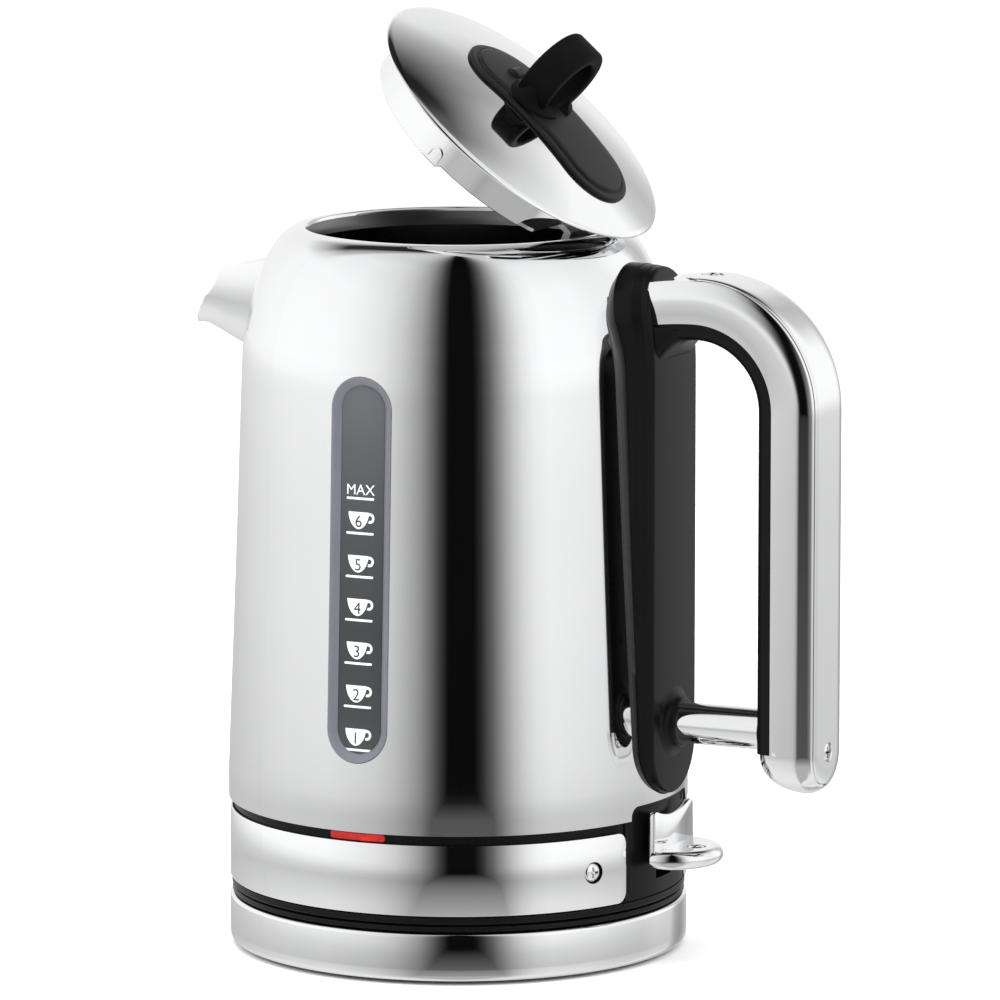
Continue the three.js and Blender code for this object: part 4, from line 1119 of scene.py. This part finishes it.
def lid_ring():
    half = RING_WIDTH / 2
    section = rounded([(RING_HOLE, -half, 1.9), (RING_R, -half, 1.7), (RING_R, half, 1.7),
                       (RING_HOLE, half, 1.9)], 7)
    rings = []
    for i in range(128):
        a = 2 * math.pi * i / 128
        rings.append([(c, r * math.cos(a), RING_Z + r * math.sin(a)) for r, c in section])
    ring = loft("lid_ring_loop", rings, 40, joined=True)
    base = dome_height(0) + PANEL_THICK
    flare = [(-4, FOOT_X, FOOT_Y), (0.2, FOOT_X, FOOT_Y), (0.6, FOOT_X - 0.4, FOOT_Y - 0.15),
             (1.1, FOOT_X - 1.3, FOOT_Y - 0.35), (2.0, FOOT_X - 2.3, FOOT_Y - 0.6),
             (3.4, half + 0.5, FOOT_Y - 0.8), (5.5, half + 0.1, FOOT_Y - 1), (8, half - 0.2, FOOT_Y - 1.2),
             (RING_Z - base - 4, half - 0.4, FOOT_Y - 1.6)]
    rings = []
    for up, wide, deep in flare:
        ring_points = []
        for j in range(64):
            a = 2 * math.pi * j / 64
            c, s = math.cos(a), math.sin(a)
            x = wide * math.copysign(abs(c) ** 0.8, c)
            ring_points.append((x, deep * math.copysign(abs(s) ** 0.8, s), base + up))
        rings.append(ring_points)
    foot = loft("foot", rings, 40)
    hole = spun("hole_cutter", "x", 0, RING_Z, [(-20, RING_HOLE + 0.9), (20, RING_HOLE + 0.9)], 96)
    crown = [(36 * j / 12, dome_height(36 * j / 12) + PANEL_THICK + 0.05) for j in range(13)]
    below = revolve("dome_cutter", [(0, 235), (36, 235)] + crown[::-1], 96)
    ring = carve(ring, carve(foot, hole), operation="UNION")
    piece(carve(ring, below), "lid", "black_rubber", "lid_ring")


# ---------------------------------------------------------------- switch lever
def inset_outline(outline, d):
    """Closed outline moved inwards by d; its points run anticlockwise."""
    moved = []
    count = len(outline)
    for i, (a, b) in enumerate(outline):
        a0, b0 = outline[i - 1]
        a1, b1 = outline[(i + 1) % count]
        length = math.hypot(a1 - a0, b1 - b0)
        moved.append((a - d * (b1 - b0) / length, b + d * (a1 - a0) / length))
    return moved


def switch_lever():
    half, top = LEVER_HALF, LEVER_TOP
    back, face = LEVER_FACE - LEVER_THICK, LEVER_FACE
    dip = [(a / 10 * (half - 2), top - 2.8 * (1 - (a / 10) ** 2)) for a in range(9, -10, -1)]
    outline = rounded([(-half, PAD_LOW + 2), (half, PAD_LOW + 2), (half, top, 1.7), *dip,
                       (-half, top, 1.7)], 6)
    steps = [(back, 0.5), (back + 0.15, 0.15), (back + 0.5, 0), (face - 0.5, 0), (face - 0.15, 0.15),
             (face, 0.5)]
    rings = [[(x, y, z) for y, z in inset_outline(outline, d)] for x, d in steps]
    plate = loft("switch_lever_plate", rings, 30)
    edge = (PAD_TOP - PAD_LOW) / 2
    centre = (PAD_TOP + PAD_LOW) / 2
    rim = [(PAD_R - edge + edge * math.cos(t), centre + edge * math.sin(t))
           for t in (math.pi * (j / 16 - 0.5) for j in range(17))]
    line = [(0, PAD_LOW)] + rim + [(PAD_R - edge - 1.6, PAD_TOP - 0.25), (0, PAD_TOP - 0.25)]
    disc = revolve("pad", line, 128, PAD_X)
    cut = [(30, -30), (face - 0.9, -30), (face - 0.9, 30), (30, 30)]
    disc = carve(disc, prism("pad_cutter", cut, "z", 20, 60))
    line = [(64.5, 32.6), (66.5, 31.2), (face - 1.2, 34.4), (face - 1.2, 37.4), (64.5, 37.4)]
    link = prism("link", line, "y", -5, 5)
    lever = join("switch_lever_plate", plate, disc, link)
    spot = (LEVER_SCREW_X, 0, PAD_TOP - 0.2)
    lever = carve(lever, placed(spun("seat_cutter", "z", 0, 0, [(-1.0, 3.25), (2, 3.25)]), spot))
    piece(lever, "switch_lever", "polished_steel", "switch_lever")
    head = placed(cross_screw("lever_screw_head", 2.9, 0.35), spot)
    piece(head, "switch_lever", "polished_steel", "lever_screw")


power_base()
lower_housing()
chrome_band()
shell_and_spout()
window()
scale_marks()
handle()
strap()
lid()
switch_lever()
